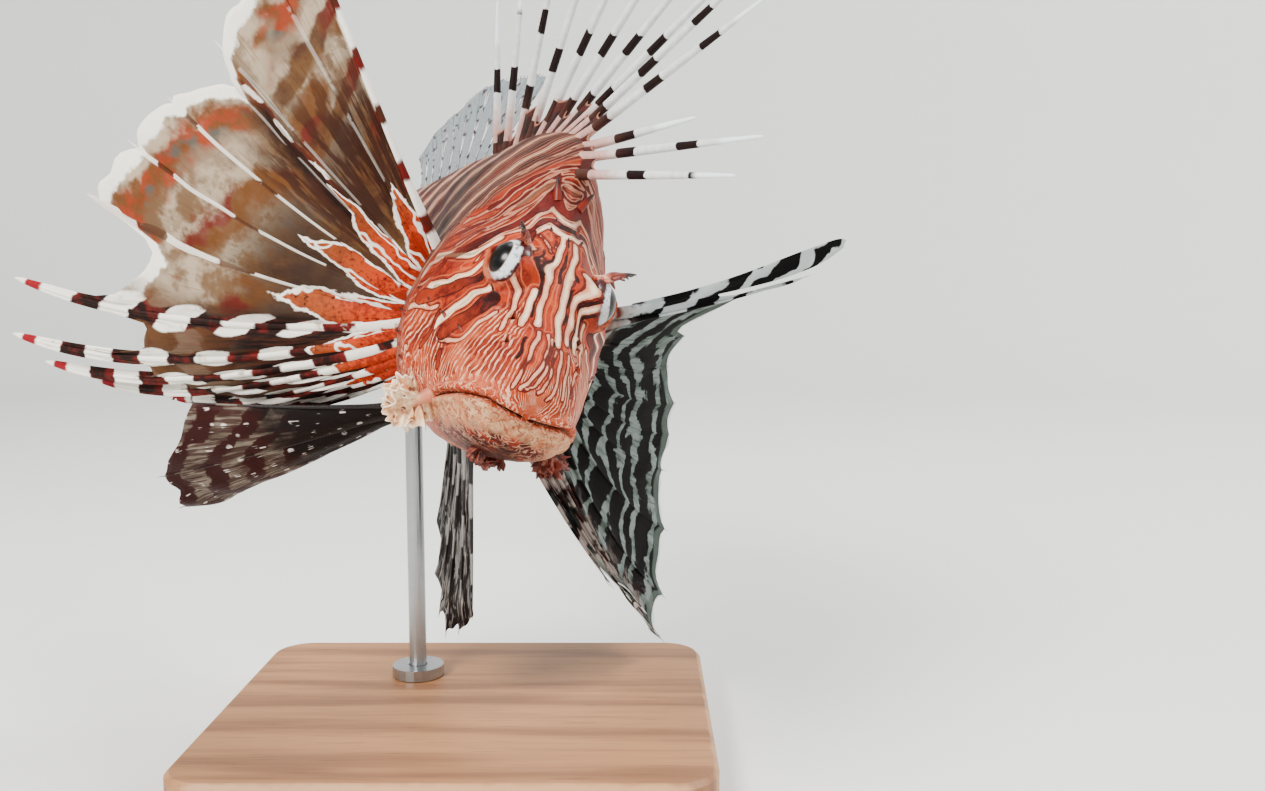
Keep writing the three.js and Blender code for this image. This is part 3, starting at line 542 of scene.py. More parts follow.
# how far outside the nearest of these strokes each point is, in mm; less than 0 inside one
def nearest(points, s, strokes, sides=(1, -1), far=4.0):
    result = np.full(len(points), far)
    for line in strokes.strip().splitlines():
        *way, (startWidth, endWidth) = [[float(n) for n in pair.split(",")] for pair in line.split()]
        way = np.array(way)
        u = np.linspace(0, 1, 6 * len(way))
        knots = np.linspace(0, 1, len(way))
        places, degrees = rowAt(np.column_stack([knots, way]), u)
        width = startWidth + (endWidth - startWidth) * u
        reach = far + max(startWidth, endWidth)
        close = np.where((s > way[:, 0].min() - reach) & (s < way[:, 0].max() + reach))[0]
        here = points[close]
        for side in sides:
            line = skinPoint(places, side * np.radians(degrees))
            best = result[close]
            for i in range(len(line) - 1):
                step = line[i + 1] - line[i]
                t = np.clip((here - line[i]) @ step / max(step @ step, 1e-6), 0, 1)
                gap = np.linalg.norm(here - line[i] - t[:, None] * step, axis=1)
                best = np.minimum(best, gap - width[i] - (width[i + 1] - width[i]) * t)
            result[close] = best
    return result


def trunkGap(s, kind):
    return np.min([np.abs(s - place) - half for place, half in trunkBars[kind]], axis=0)


def mound(kind, x):
    height, width = relief[kind]
    return height * bell(x, width)


# the skin as a grid of rings and columns, with its hollows and eye sockets, the painted shade in both, and its
# distance from the mouth
def skinGrid():
    places = ringPlaces()
    angles = columnAngles(places)
    s = np.broadcast_to(places[:, None], angles.shape)
    points = skinPoint(s, angles)
    wrapped = np.concatenate([points[:, -1:], points, points[:, :1]], axis=1)
    normal = unit(np.cross(wrapped[:, 2:] - wrapped[:, :-2], np.gradient(points, axis=0)))

    # lips: arc distance from the mouth's own column, above it positive
    arc = np.cumsum(np.linalg.norm(wrapped[:, 1:-1] - wrapped[:, :-2], axis=-1), axis=1)
    above, count = body["aboveMouth"], body["columns"]
    leftMouth, rightMouth = arc[:, above, None], arc[:, count - above, None]
    fromMouth = np.where(np.arange(count) <= count // 2, leftMouth - arc, arc - rightMouth)
    strength = ease(*relief["lipEnd"], s)
    rise = strength * (mound("upperLip", fromMouth - 1.6) + mound("lowerLip", fromMouth + 1.7)
                       - mound("mouth", fromMouth))
    # hollowShade: where shade is painted into the mouth groove, along the gill edge and in the nostrils
    hollowShade = strength * bell(fromMouth, 0.4) * 0.85

    # edge of the gill cover
    level = points[..., 2] - droop(s)
    beyond = s - smooth(body["gillEdge"], level)
    flank = ease(*relief["gillTop"], level)
    step = -relief["gillStep"] * ease(0, 0.7, beyond) * np.exp(-np.maximum(beyond, 0) / relief["gillFade"])
    rise = rise + flank * np.where(beyond > 0, step, mound("gillLip", beyond))
    hollowShade = np.maximum(hollowShade, flank * bell(beyond - 0.5, 0.7) * 0.9)
    for height, width, stroke in body["ridges"]:
        fromRidge = nearest(points.reshape(-1, 3), s.ravel(), stroke, far=3 * width).reshape(s.shape)
        rise = rise + height * bell(fromRidge, width)
    for place, high in body["nostrils"]:
        for side in (1, -1):
            gap = np.linalg.norm(points - skinPoint(place, side * angleAtLevel(place, high)), axis=-1)
            rise = rise - mound("nostril", gap) + mound("nostrilRim", gap - 1.45)
            hollowShade = np.maximum(hollowShade, bell(gap, 0.8))
    uneven = sum(height * waver(points, size, seed) for height, size, seed in relief["uneven"])
    grid = points + normal * (rise + uneven * ease(2, 12, s))[..., None]

    # orbits: a dome on each side with a round opening where the skin dives under the eyeball
    socket = np.zeros(s.shape)
    outer, opening = body["orbit"], body["opening"]
    for side in (1, -1):
        axis = unit(np.array(body["eyeAxis"], float) * (1, side, 1))
        offset = grid - np.array(body["eye"], float) * (1, side, 1)
        high = offset @ axis
        out = np.linalg.norm(offset - high[..., None] * axis, axis=-1)
        near = (out < 16) * ease(-4, 0.2, high)  # the dome fades out between the eyes
        inside = np.sqrt(np.maximum(outer ** 2 - out ** 2, 0.1))
        dome = np.where(out < outer - 0.2, inside, 1.8 - 2.6 * (out - outer))
        raised = 0.5 * (high + dome + np.sqrt((high - dome) ** 2 + 1.6 ** 2))
        sunk = np.sqrt(np.maximum((body["eyeRadius"] - 0.5) ** 2 - out ** 2, 4))
        rim = ease(opening + 0.55, opening - 0.15, out)
        grid = grid + (near * (raised * (1 - rim) + sunk * rim - high))[..., None] * axis
        # painted shade: a ring round each eye opening, darkened where the skin turns down under the eyeball
        socket = np.maximum(socket, near * ease(opening + 1.7, opening + 0.5, out))
    return s, angles, points, grid, hollowShade, socket, fromMouth


def skinPiece(material):
    s, angles, plain, grid, hollowShade, socket, fromMouth = skinGrid()
    flat, flatS, end = plain.reshape(-1, 3), s.ravel(), body["end"]
    ends = [[-body["tip"], 0, body["tipLevel"]], [-end - 1, sway(end), droop(end) + body["tailLevel"]]]
    points = np.concatenate([grid.reshape(-1, 3), ends])
    wavy = flat + 0.42 * np.stack([waver(flat, 9, seed) for seed in (11, 12, 13)], axis=-1)
    trunk = ease(66, 69, flatS)
    trunkS = (flatS + 1.1 * waver(flat, 26, 21) + 0.5 * waver(flat, 9, 22)
              + 2.5 * np.sin(angles.ravel() * 2) ** 2)

    # how far from the strokes of a kind on the head, and from its bars on the trunk
    def mark(kind, brow):
        onHead = np.minimum(nearest(wavy, flatS, markings[kind]), nearest(wavy, flatS, markings[brow], (1,)))
        return np.minimum(onHead + 9 * trunk, trunkGap(trunkS, kind) + 9 * (1 - trunk))

    around = np.degrees(np.abs(angles)).ravel()
    faceZone = (ease(24, 21, flatS) * np.maximum(ease(20, 27, around), ease(6, 3, flatS))
                + ease(37, 34, flatS) * ease(76, 82, around))
    values = {"creamMark": mark("cream", "browCream"), "darkMark": mark("dark", "browDark"),
              "oliveMark": nearest(wavy, flatS, markings["olive"]),
              "hollowShade": hollowShade.ravel(), "socket": socket.ravel(), "fromSnout": flatS, "trunk": trunk,
              "trunkPlace": trunkS, "around": around,
              "jaw": (ease(-0.3, -1.4, fromMouth) * ease(31, 24, s)).ravel(),
              "belowMouth": np.clip(-fromMouth, 0, 60).ravel(),
              "aboveMouth": np.clip(fromMouth, 0, 60).ravel(),
              "faceFlow": (flatS + smooth(body["flow"], around)) / body["flowSpacing"],
              "faceZone": np.clip(faceZone, 0, 1),
              "cheekFlow": (flatS - 0.1 * (around - 80)) / body["cheekSpacing"],
              "cheekZone": ease(34, 37, flatS) * ease(76, 84, around) * ease(66, 61, flatS)}
    values = {key: np.concatenate([data, [data[0], data[-1]]]) for key, data in values.items()}
    return meshPiece("skin", points, ringFaces(*s.shape), values, material)


# the trunk tones are darker and browner than the head's: partly their own colour, partly painted shade where
# the body curves away from the light
skinTones = {
    "orange": "#942b0d", "bright": "#ad3d16", "rust": "#74200d", "cream": "#e6cbab", "pinkCream": "#d49c7d",
    "salmon": "#b45a39", "maroon": "#5c120a", "darkest": "#1f0605", "olive": "#6a5d42", "trunk": "#5c2b1f",
    "trunkDark": "#2b0c07", "trunkPale": "#976a51", "trunkPink": "#784838", "jaw": "#c19b74",
    "jawWarm": "#a8633e", "chin": "#3c0c07", "line": "#47110a", "hairSpacing": 1.75, "scales": 900,
}


def skinMaterial():
    m = Sheet("livingSkin", skinTones)
    blur, fine = m.noise(420, 3, 0.6), m.noise(1500, 2, 0.6)
    broad, middle = m.noise(90), m.noise(200, 3, 0.6)
    trunk, snout, around, below, above, faceZone, cheekZone, jawZone = m.values(
        "trunk", "fromSnout", "around", "belowMouth", "aboveMouth", "faceZone", "cheekZone", "jaw")
    creamMark, darkMark, oliveMark, trunkPlace, faceFlow, cheekFlow, socket, hollowShade = m.values(
        "creamMark", "darkMark", "oliveMark", "trunkPlace", "faceFlow", "cheekFlow", "socket", "hollowShade")
    wander, head = blur.stray(0.55), 1 - trunk
    cream, dark, olive = creamMark + wander, darkMark + middle.stray(0.9), oliveMark + fine.stray(0.5)

    # ground between the markings, with fine dark hairs on the trunk
    hairWave = (trunkPlace + wander).beat(skinTones["hairSpacing"])
    hairs = hairWave.rise(0.0, 0.5)
    fill = m.over(m.mix(middle.rise(0.34, 0.6), "rust", "orange"),
                  (broad.rise(0.5, 0.66) * blur.rise(0.35, 0.6), "bright"),
                  (broad.rise(0.46, 0.36) * blur.rise(0.6, 0.4), "maroon"),
                  (trunk * 0.9, m.mix(hairs * 0.75, m.mix(blur, "trunkPink", "trunk"), "trunkDark")))
    pale = m.mix(cream.rise(-0.75, -0.1), "cream", m.mix(middle, "pinkCream", "salmon"))
    pale = m.mix(trunk * 0.85, pale, m.mix(blur, "trunkPale", "pinkCream"))

    # fine pale lines that flow down the face to the lips, forking and closing into loops
    warp, curl = m.noise(130), m.noise(400)
    stray = warp.stray(2.2) + curl.stray(0.9 + above.rise(8, 2.5) * 2.4)
    width = middle.stray(0.9) + 0.38
    ridge = (faceFlow + stray).nearWhole() - width
    cheekRidge = (cheekFlow + stray).nearWhole() - width
    clear = cream.rise(0.36, 0.5) * dark.rise(0.1, 0.3)
    fineLine = (ridge.rise(0.09, -0.03) * faceZone).most(cheekRidge.rise(0.06, -0.03) * cheekZone) * clear
    fineEdge = (ridge.band(0.02, 0.08, 0.2, 0.36) * faceZone).most(
        cheekRidge.band(0.02, 0.08, 0.18, 0.3) * cheekZone) * clear
    blush = around.band(50, 62, 84, 92) * snout.rise(26, 20) * (middle + broad).rise(0.85, 1.05)
    # echoes of the broad strokes, then the strokes with a dark outline
    echo = cream.band(0.75, 0.85, 1.05, 1.2) * head * (1 - faceZone) * (1 - cheekZone)
    brim = dark.band(0.02, 0.12, 0.5, 0.62) * head * around.rise(52, 46) * snout.rise(43, 45)
    deep = m.over(m.mix((blur * 0.6 + broad * 0.6).rise(0.56, 0.74), "darkest", "maroon"),
                  (around.rise(52, 72) * head * 0.75, fill))
    skin = m.over(
        fill,
        (blush * 0.6, "salmon"),
        (fineEdge * (0.85 - blush * 0.5), "line"),
        (fineLine * 0.92, m.mix(curl.rise(0.4, 0.6), "pinkCream", "salmon")),
        (echo * 0.7, "salmon"),
        (cream.rise(0.12, -0.04), pale),
        (cream.band(-0.06, 0.06, 0.3, 0.42) * 0.92, "line"),
        (brim * 0.85, "pinkCream"),
        (dark.rise(0.12, -0.06), deep),
        (dark.band(-0.35, -0.12, 0.1, 0.2) * head * 0.9, "darkest"),
        (olive.rise(0.3, -0.3) * 0.75, "olive"),
        (hairs * trunk * 0.8, "trunkDark"),
        (hairWave.rise(-0.7, -0.9) * trunk * snout.rise(112, 84) * 0.5, "trunkPale"),
        # painted shade: the back of the head, from about 44 mm behind the snout, darkened towards maroon
        (snout.rise(44, 56) * head * 0.52, "maroon"),
    )

    # lips and lower jaw: pale with fine squiggles under the lip, mottled orange and dark red under the chin,
    # with painted shadow darkening it further below the mouth
    squiggle = (m.noise(430, 1.5, 0.5, None, 0.6) - 0.5).size().rise(0.045, 0.012)
    tangle = (m.noise(520, 1.5, 0.5, None, 0.8) - 0.5).size().rise(0.05, 0.02)
    mottle = m.noise(300, 3, 0.65, None, 0.8)
    jaw = m.mix(squiggle * 0.75, m.mix(blur.rise(0.3, 0.7), "jaw", "jawWarm"), "rust")
    under = m.over(m.mix(mottle.rise(0.42, 0.52), m.mix(blur, "rust", "orange"), "chin"),
                   # painted shadow: darkest red further below the mouth, under the jaw
                   (squiggle * 0.6, "pinkCream"), (below.rise(8, 18) * 0.88, "darkest"))
    chin = (below + broad.stray(9) + mottle.stray(8)).rise(5.5, 10.5)
    lip = (above + curl.stray(3)).rise(3.4, 1.6) * snout.rise(26, 21) * (1 - jawZone)
    skin = m.over(
        skin,
        (jawZone, m.mix(chin, jaw, under)),
        (lip * 0.9, m.mix(tangle, m.mix(mottle, "bright", "rust"), "pinkCream")),
        # painted shade: a dark red ring round each eye opening
        (socket * 0.85, m.mix(middle.rise(0.4, 0.6), "maroon", "salmon")),
        # painted shade: the darkest red laid into the mouth groove, along the gill edge and in the nostrils
        (hollowShade.rise(0.2, 0.9) * 0.88, "darkest"),
        (m.noise(2600, 2, 0.6).rise(0.52, 0.7) * 0.3, "line"),
    )
    height = m.cells(skinTones["scales"]) * 0.4 + fine * 0.35 + cream.rise(0.3, -0.2) * 0.5 + fineLine * 0.4
    return m.finish(skin, 0.46 + blur * 0.16, 0.12, (height, 0.00035, 0.55))


skin = skinPiece(skinMaterial())
print("skin:", len(skin.data.polygons), "faces")
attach(skin, "root")
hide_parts("head", "lower_jaw", "torso", "tail_root")

# Eyes: one closed ball on each side, whose front swells into a clear-coated cornea

eyeLook = {"pupil": 33, "oval": 4, "tilt": 0.9, "offset": (-0.22, 0.4, 0.2), "swell": 0.35, "flatBack": 3.4,
           "columns": 64, "rings": 47, "silver": "#cfd3da", "grey": "#6f6a68", "shade": "#7a6a5c",
           "edge": "#3a1512", "rim": "#4d4436", "black": "#020203"}


def eyeColours():
    m = Sheet("fishEye", eyeLook)
    turn, around = m.values("fromPupil", "roundPupil")
    rays = m.streaks(around.sine() * 2.2, (around + math.pi / 2).sine() * 2.2, turn * 0.06, 4, 0.65)
    oval, rim = turn + (around * 2 + eyeLook["tilt"]).sine() * eyeLook["oval"], eyeLook["pupil"]
    eye = m.over(m.mix(rays.rise(0.54, 0.66), "silver", "grey"),
                 # painted shade: one side of the iris darkened towards the shade tone
                 ((around + 0.6).sine().rise(0.1, 0.9) * 0.55, "shade"),
                 ((turn + rays * 22).rise(60, 66), "edge"),
                 (oval.rise(rim + 3, rim + 1), "rim"),
                 ((oval + m.noise(700)).rise(rim + 1.2, rim - 0.6), "black"))
    return m.finish(eye, 0.3, 0.2, None, {"Coat Weight": 0.18, "Coat Roughness": 0.12})


def eyePiece(label, side, material):
    centre = np.array(body["eye"], float) * (1, side, 1)
    axis = unit(np.array(body["eyeAxis"], float) * (1, side, 1))
    look = unit(axis + np.array(eyeLook["offset"]) * (1, side, 1))
    first = unit(np.cross(look, (0, 0, 1)))
    second = np.cross(look, first)
    radius, swell, flatBack = body["eyeRadius"], eyeLook["swell"], eyeLook["flatBack"]
    columns, rings = eyeLook["columns"], eyeLook["rings"]
    tt, rr = np.meshgrid(np.linspace(0, math.pi, rings + 2)[1:-1],
                         np.linspace(0, fullTurn, columns, endpoint=False), indexing="ij")
    ball = (np.cos(tt)[..., None] * look
            + np.sin(tt)[..., None] * (np.cos(rr)[..., None] * first + np.sin(rr)[..., None] * second))
    reach = radius + swell * ease(0.75, 0.25, tt) - flatBack * ease(1.25, 1.6, tt)
    points = np.concatenate([(centre + ball * reach[..., None]).reshape(-1, 3),
                             [centre + look * (radius + swell), centre - look * (radius - flatBack)]])
    values = {"fromPupil": np.degrees(np.concatenate([tt.ravel(), [0, math.pi]])),
              "roundPupil": np.concatenate([rr.ravel(), [0, 0]])}
    eye = meshPiece("eye_" + label + "_ball", points, ringFaces(rings, columns, True), values, material)
    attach(eye, "root")
    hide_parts("eye_" + label)


eyeFinish = eyeColours()
eyePiece("right", -1, eyeFinish)
eyePiece("left", 1, eyeFinish)
print("eyes made")

# Thorns of the head: tapered tubes with their feet in the skin

thornRows = [  # from and to as (distance, level), count, length, thickness
    ((26, 3), (54, 1), 4, 1.1, 0.7), ((47, -16), (60, -8), 3, 2.0, 0.9),
    ((58, 38.4), (58, 38.4), 1, 5.0, 1.3), ((43, 31), (47, 33), 2, 1.5, 0.8),
]
thornSink = 1.2


def thornColours():
    m = Sheet("thorns", skinTones)
    blur = m.noise(600)
    horn = m.mix(m.value("share").rise(0.3, 0.8), m.mix(blur, "rust", "maroon"), "darkest")
    return m.finish(horn, 0.45, 0.25, (blur, 0.0002, 0.4))


def makeThorns():
    lines, t = [], np.linspace(0, 1, 7)
    for side in (1, -1):
        for start, end, count, length, thick in thornRows:
            for i in range(count):
                s, level = (a + (b - a) * (i / max(count - 1, 1)) for a, b in zip(start, end))
                angle = side * angleAtLevel(s, min(level, float(backAt(s)) - 0.8))
                way = unit(skinNormal(s, angle) + np.array([-0.9, 0, 0.25]))
                tall = length * (0.8 + 0.4 * math.sin(2.4 * i + count) ** 2) + thornSink
                path = (skinPoint(s, angle) - way * thornSink + way * (tall * t)[:, None]
                        + np.array([-0.5, 0, 0]) * (t ** 2)[:, None])
                lines.append((path, thick * (1 - t) ** 0.7 + 0.06, {"share": t}))
    piece = tubes("headThorns", lines, thornColours())
    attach(piece, "root")


makeThorns()

# Soft flaps: ruffled sheets with lobed, lacy edges

flaps = {
    "right": {"node": "cheek_tentacle_right", "side": -1, "way": (0.1, -0.85, -0.75),
              "across": (-0.35, -0.4, 0.85), "length": 18, "fans": 11, "fanSize": 7.5, "dark": False},
    "left": {"node": "cheek_tentacle_left", "side": 1, "way": (0.25, 0.3, -1),
             "across": (0.3, 0.9, 0.3), "length": 14, "fans": 7, "fanSize": 5, "dark": True},
    "root": (25, -15.5),  # distance and level
    "sink": 1.5, "stem": 2.1, "stemReach": 0.62,
}
# small ragged tufts under the chin, and where they stand: (distance, sideways, size)
chinTufts = {"places": [(11, -3.5, 3.0), (14, 3, 2.6), (19, 1, 3.4)], "fans": 4}


def flapColours(name, dark):
    m = Sheet(name)
    share, blur = m.value("share"), m.noise(380, 3, 0.6)
    ground, spots = blur.rise(0.35, 0.65), m.cells(430).rise(0.32, 0.18)
    # with dark: a dark red flesh with paler spots for the left flap and the chin tufts, which sit in shade;
    # partly their own colour, partly painted shade
    if dark:
        flesh = m.mix(spots * 0.5, m.mix(ground, "#2c0c09", "#6e2819"), "#a8705a")
    else:
        flesh = m.over(m.mix(ground, "#e9cfa8", "#c98f62"),
                       (spots * 0.9, "#6b2a16"),
                       (share.rise(0.62, 0.2), m.mix(blur, "#b3502e", "#cf8a68")),
                       (share.rise(0.93, 1.0) * 0.6, "#f4e6cf"))
    return m.finish(flesh, 0.5, 0.3, (blur, 0.0004, 0.6))


# a way, the way across it and the way it faces, all square to each other
def squared(way, across):
    way, across = unit(way), unit(across)
    across = unit(across - way * (across @ way))
    return way, across, np.cross(way, across)


# one ruffled fan: its points, faces and share, which starts at a value of its own
def fanSheet(foot, way, across, size, opening, lobes, seed, start=0.0):
    way, across, face = squared(way, across)
    rng = np.random.default_rng(seed)
    wave, lean = rng.uniform(0, 6.28), rng.uniform(-0.3, 0.3)
    tt, rr = np.meshgrid(np.linspace(-opening, opening, 34), np.linspace(0.0, 1.0, 12), indexing="ij")
    edge = size * (0.7 + 0.22 * np.abs(np.cos(lobes * tt + wave)) + 0.09 * np.sin(17 * tt + wave))
    frill = size * 0.2 * rr ** 1.6 * np.sin(7.5 * tt + wave) + size * lean * rr ** 2
    grid = (foot + (edge * rr)[..., None] * (np.cos(tt)[..., None] * way + np.sin(tt)[..., None] * across)
            + frill[..., None] * face)
    grid[:, 0] += across * np.linspace(-0.5, 0.5, len(tt))[:, None]
    return sheetArrays(grid, 0.42 * (1.1 - 0.72 * rr), {"share": start + (1 - start) * rr})


def makeFlap(label):
    look, (s, level) = flaps[label], flaps["root"]
    angle = look["side"] * angleAtLevel(s, level)
    foot = skinPoint(s, angle) - skinNormal(s, angle) * flaps["sink"]
    way, across, face = squared(look["way"], look["across"])
    rng, fans = np.random.default_rng(5), []
    for k in range(look["fans"]):
        u = (k + 0.5) / look["fans"]
        reach = look["length"] * (0.12 + 0.5 * u)
        sideways = (k % 3 - 1) * 0.55 + rng.uniform(-0.15, 0.15)
        aim = way + across * sideways * 1.3 + face * rng.uniform(-0.6, 0.6)
        size = look["fanSize"] * (1.05 - 0.25 * u) * rng.uniform(0.85, 1.1)
        start = foot + way * reach * 0.8 + across * sideways * reach * 0.35
        twist = across + face * rng.uniform(-0.8, 0.8)
        fans.append(fanSheet(start, aim, twist, size, 1.25, 3.2, 40 + k, 0.25))
    finish, t = flapColours("cheek_" + label + "Flap", look["dark"]), np.linspace(0, 1, 8)
    stalk = foot + way * (look["length"] * flaps["stemReach"] * t)[:, None]
    lines = [(stalk, flaps["stem"] * (1 - 0.68 * t), {"share": 0.1 + 0.75 * t})]
    piece = joined("cheek_" + label + "_flap", [
        meshPiece(label + "Fans", *gathered(fans), finish), tubes(label + "Stem", lines, finish, 12)])
    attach(piece, "root")
    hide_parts(look["node"])


def makeChinTufts():
    fans = []
    for s, y, size in chinTufts["places"]:
        foot = np.array([-s, y, float(bellyAt(s)) + 1.2])
        for k in range(chinTufts["fans"]):
            x, z = math.cos(1.57 * k + s), math.sin(1.57 * k + s)
            aim, across = (0.5 * x, 0.5 * z, -1), (-z, x, 0.2)
            fans.append(fanSheet(foot, aim, across, size + 1.2, 0.8, 3.4, 60 + k + int(s)))
    tufts = meshPiece("chinTufts", *gathered(fans), flapColours("chinTuftFlesh", True))
    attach(tufts, "root")


def browColours():
    m = Sheet("browTentacles", {**skinTones, "middle": "#6a2414", "tip": "#240d0b"})
    share, blur = m.value("share"), m.noise(500)
    stem = m.over(m.mix(blur.rise(0.4, 0.6), "orange", "pinkCream"),
                  ((share + blur.stray(0.3)).rise(0.25, 0.4), "middle"),
                  ((share + blur.stray(0.4)).rise(0.6, 0.8), "tip"))
    return m.finish(stem, 0.45, 0.5, (blur, 0.0003, 0.5))


# brow tentacles: foot, way and length, and the short branches all round the stem
brows = {"right": ((-33, -9.5, 26), (0.05, -0.75, 0.9), 8),
         "left": ((-33, 9.5, 26), (0.05, 0.75, 0.55), 10.5),
         "stout": 1.9, "branches": 9, "branchLength": 3.6, "branchStout": 0.7}


def makeBrows():
    finish, t, q = browColours(), np.linspace(0, 1, 16), np.linspace(0, 1, 6)
    for label in ("right", "left"):
        foot, way, length = brows[label]
        foot, way = np.array(foot, float), unit(way)
        stem = foot + way * (length * t)[:, None] + np.array([-1.2, 0, 0.4]) * np.sin(3 * t)[:, None]
        radii = brows["stout"] * (1 - t) ** 0.9 * (0.85 + 0.15 * np.cos(14 * t)) + 0.14
        lines = [(stem, radii, {"share": t})]
        for k in range(brows["branches"]):
            u, turn = 0.2 + 0.08 * k, 2.4 * k
            aim = unit(way * 0.8 + np.array([math.cos(turn), 0.3 * math.sin(turn), math.sin(turn)]) * 0.8)
            lines.append((foot + way * length * u + aim * (brows["branchLength"] * (1.1 - u) * q)[:, None],
                          brows["branchStout"] * (1 - q) ** 0.6 * (1.2 - u) + 0.08, {"share": u + 0.2 * q}))
        piece = tubes("brow_" + label, lines, finish)
        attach(piece, "root")
        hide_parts("brow_tentacle_" + label)


makeFlap("right")
makeFlap("left")
makeChinTufts()
makeBrows()
print("head details made")

# Fins: reach is how far the web goes between the rays, stout how thick each ray is; web and rods change
# webLook and rodLook. Each row of a table starts with u, which is 0 at the leading ray and 1 at the last

webLook = {"perGap": 8, "rows": 46, "tip": 0.97, "fringe": 5, "ragged": 0.012, "billow": 0.06, "pleat": 0,
           "ripple": 0.8, "rippleSize": 16, "swell": 2.6, "swellReach": 0.3, "half": 0.16}
rodLook = {"points": 40, "radius": 0.55, "blunt": 0.22, "power": 1.6, "swell": 2.6, "swellReach": 0.3,
           "sides": 8, "branches": 1}
pectoralWeb = {"perGap": 10, "rows": 60, "fringe": 6, "pleat": 0.1, "swell": 3, "swellReach": 0.32}
pectoralRods = {"radius": 0.75, "points": 48, "swell": 3, "swellReach": 0.32}
# rows of [u, fan, sweep, length, bow down, bow forward]
pectorals = {
    "root": {"s": 77, "top": 5, "bottom": -29, "sink": 4},
    "right": {
        "side": -1, "rays": 14, "web": pectoralWeb, "rods": {**pectoralRods, "blunt": 0.3, "power": 2.6},
        "table": [
            [0, 46, 2, 102, 0, 3], [0.077, 53, 4, 92, 0, 4], [0.154, 67, 8, 84, 0, 5],
            [0.23, 69, 12, 75, 0, 5], [0.31, 79, 15, 88, 2, 6], [0.46, 100, 21, 102, 4, 6],
            [0.54, 116, 23, 128, 6, 6], [0.615, 124, 25, 136, 8, 6], [0.77, 131, 27, 114, 7, 5],
            [0.92, 140, 29, 68, 4, 3], [1, 145, 30, 52, 2, 2],
        ],
        "reach": [1.0, 0.99, 0.96, 1.0, 0.99, 0.98, 0.72, 0.62, 0.62, 0.6, 0.6, 0.66, 0.8],
        "stout": [1.35, 0.7, 0.6, 0.6, 0.55, 0.55, 0.7, 1.8, 1.9, 1.8, 1.8, 1.6, 1.4, 1.2],
    },
    "left": {
        "side": 1, "rays": 14, "web": pectoralWeb, "rods": pectoralRods,
        "table": [
            [0, 60, 28, 120, 2, 2], [0.077, 64, 30, 110, 2, 2], [0.154, 85, 47, 87, 2, 4],
            [0.31, 104, 46, 111, 4, 5], [0.46, 115, 40, 121, 5, 5], [0.62, 127, 24, 140, 6, 4],
            [0.69, 129, 16, 134, 5, 3], [0.85, 126, 5, 94, 3, 2], [1, 125, -3, 72, 2, 1],
        ],
        "reach": [0.56, 0.78, 0.97, 0.97, 0.97, 0.96, 0.95, 0.94, 0.93, 0.92, 0.9, 0.85, 0.85],
        "stout": [1.2, 0.9, 0.8, 0.75, 0.75, 0.75, 0.8, 0.9, 1, 1, 1, 1, 1, 1],
    },
}
# flat straps along some pectoral rays: where each starts, its half width, and how much of it tapers
straps = {
    "right": {"rays": [6, 7, 8, 9, 10, 11], "start": 0.42, "root": 0.5, "half": 2.1, "widest": 0.66,
              "taper": 0.3, "turn": 0.75},
    "left": {"rays": [0], "start": 0.2, "root": 1.8, "half": 7.0, "widest": 0.86, "taper": 0.1, "turn": 0.0},
    "front": (0.43, -0.9, 0.07),  # the way that the blades of the lower straps turn to
}
pelvicShape = {"rays": 6, "rods": {"radius": 0.7, "swell": 1.8, "swellReach": 0.25},
               "stout": [1.1, 0.8, 0.75, 0.75, 0.7, 0.7],
               "web": {"perGap": 10, "rows": 44, "fringe": 3, "pleat": 0.05, "swell": 1.8, "swellReach": 0.25,
                       "billow": 0.09}}
# rows of [u, fan, sweep, length, bow forward]
pelvics = {
    "root": {"front": 78, "back": 90, "out": 8, "narrowing": 0.55, "sink": 3},
    "right": {"side": -1, "reach": [0.97, 0.95, 0.95, 0.96, 0.97], **pelvicShape,
              "table": [[0, 115, 5, 66, 3], [0.25, 138, 11, 87, 4], [0.6, 148, 20, 85, 5],
                        [1, 146, 34, 46, 3]]},
    "left": {"side": 1, "reach": [0.97, 0.95, 0.93, 0.95, 0.97], **pelvicShape,
             "table": [[0, 154, 1, 68, 2], [0.4, 158, 9, 86, 3], [0.7, 159, 15, 80, 4], [1, 159, 25, 58, 3]]},
}
softShape = {"web": {"perGap": 4, "rows": 30, "fringe": 2, "swell": 0.8, "swellReach": 0.2, "ripple": 0.5,
                     "half": 0.13},
             "rods": {"radius": 0.42, "points": 34, "branches": 4, "swell": 0.8, "swellReach": 0.2,
                      "sides": 6}}
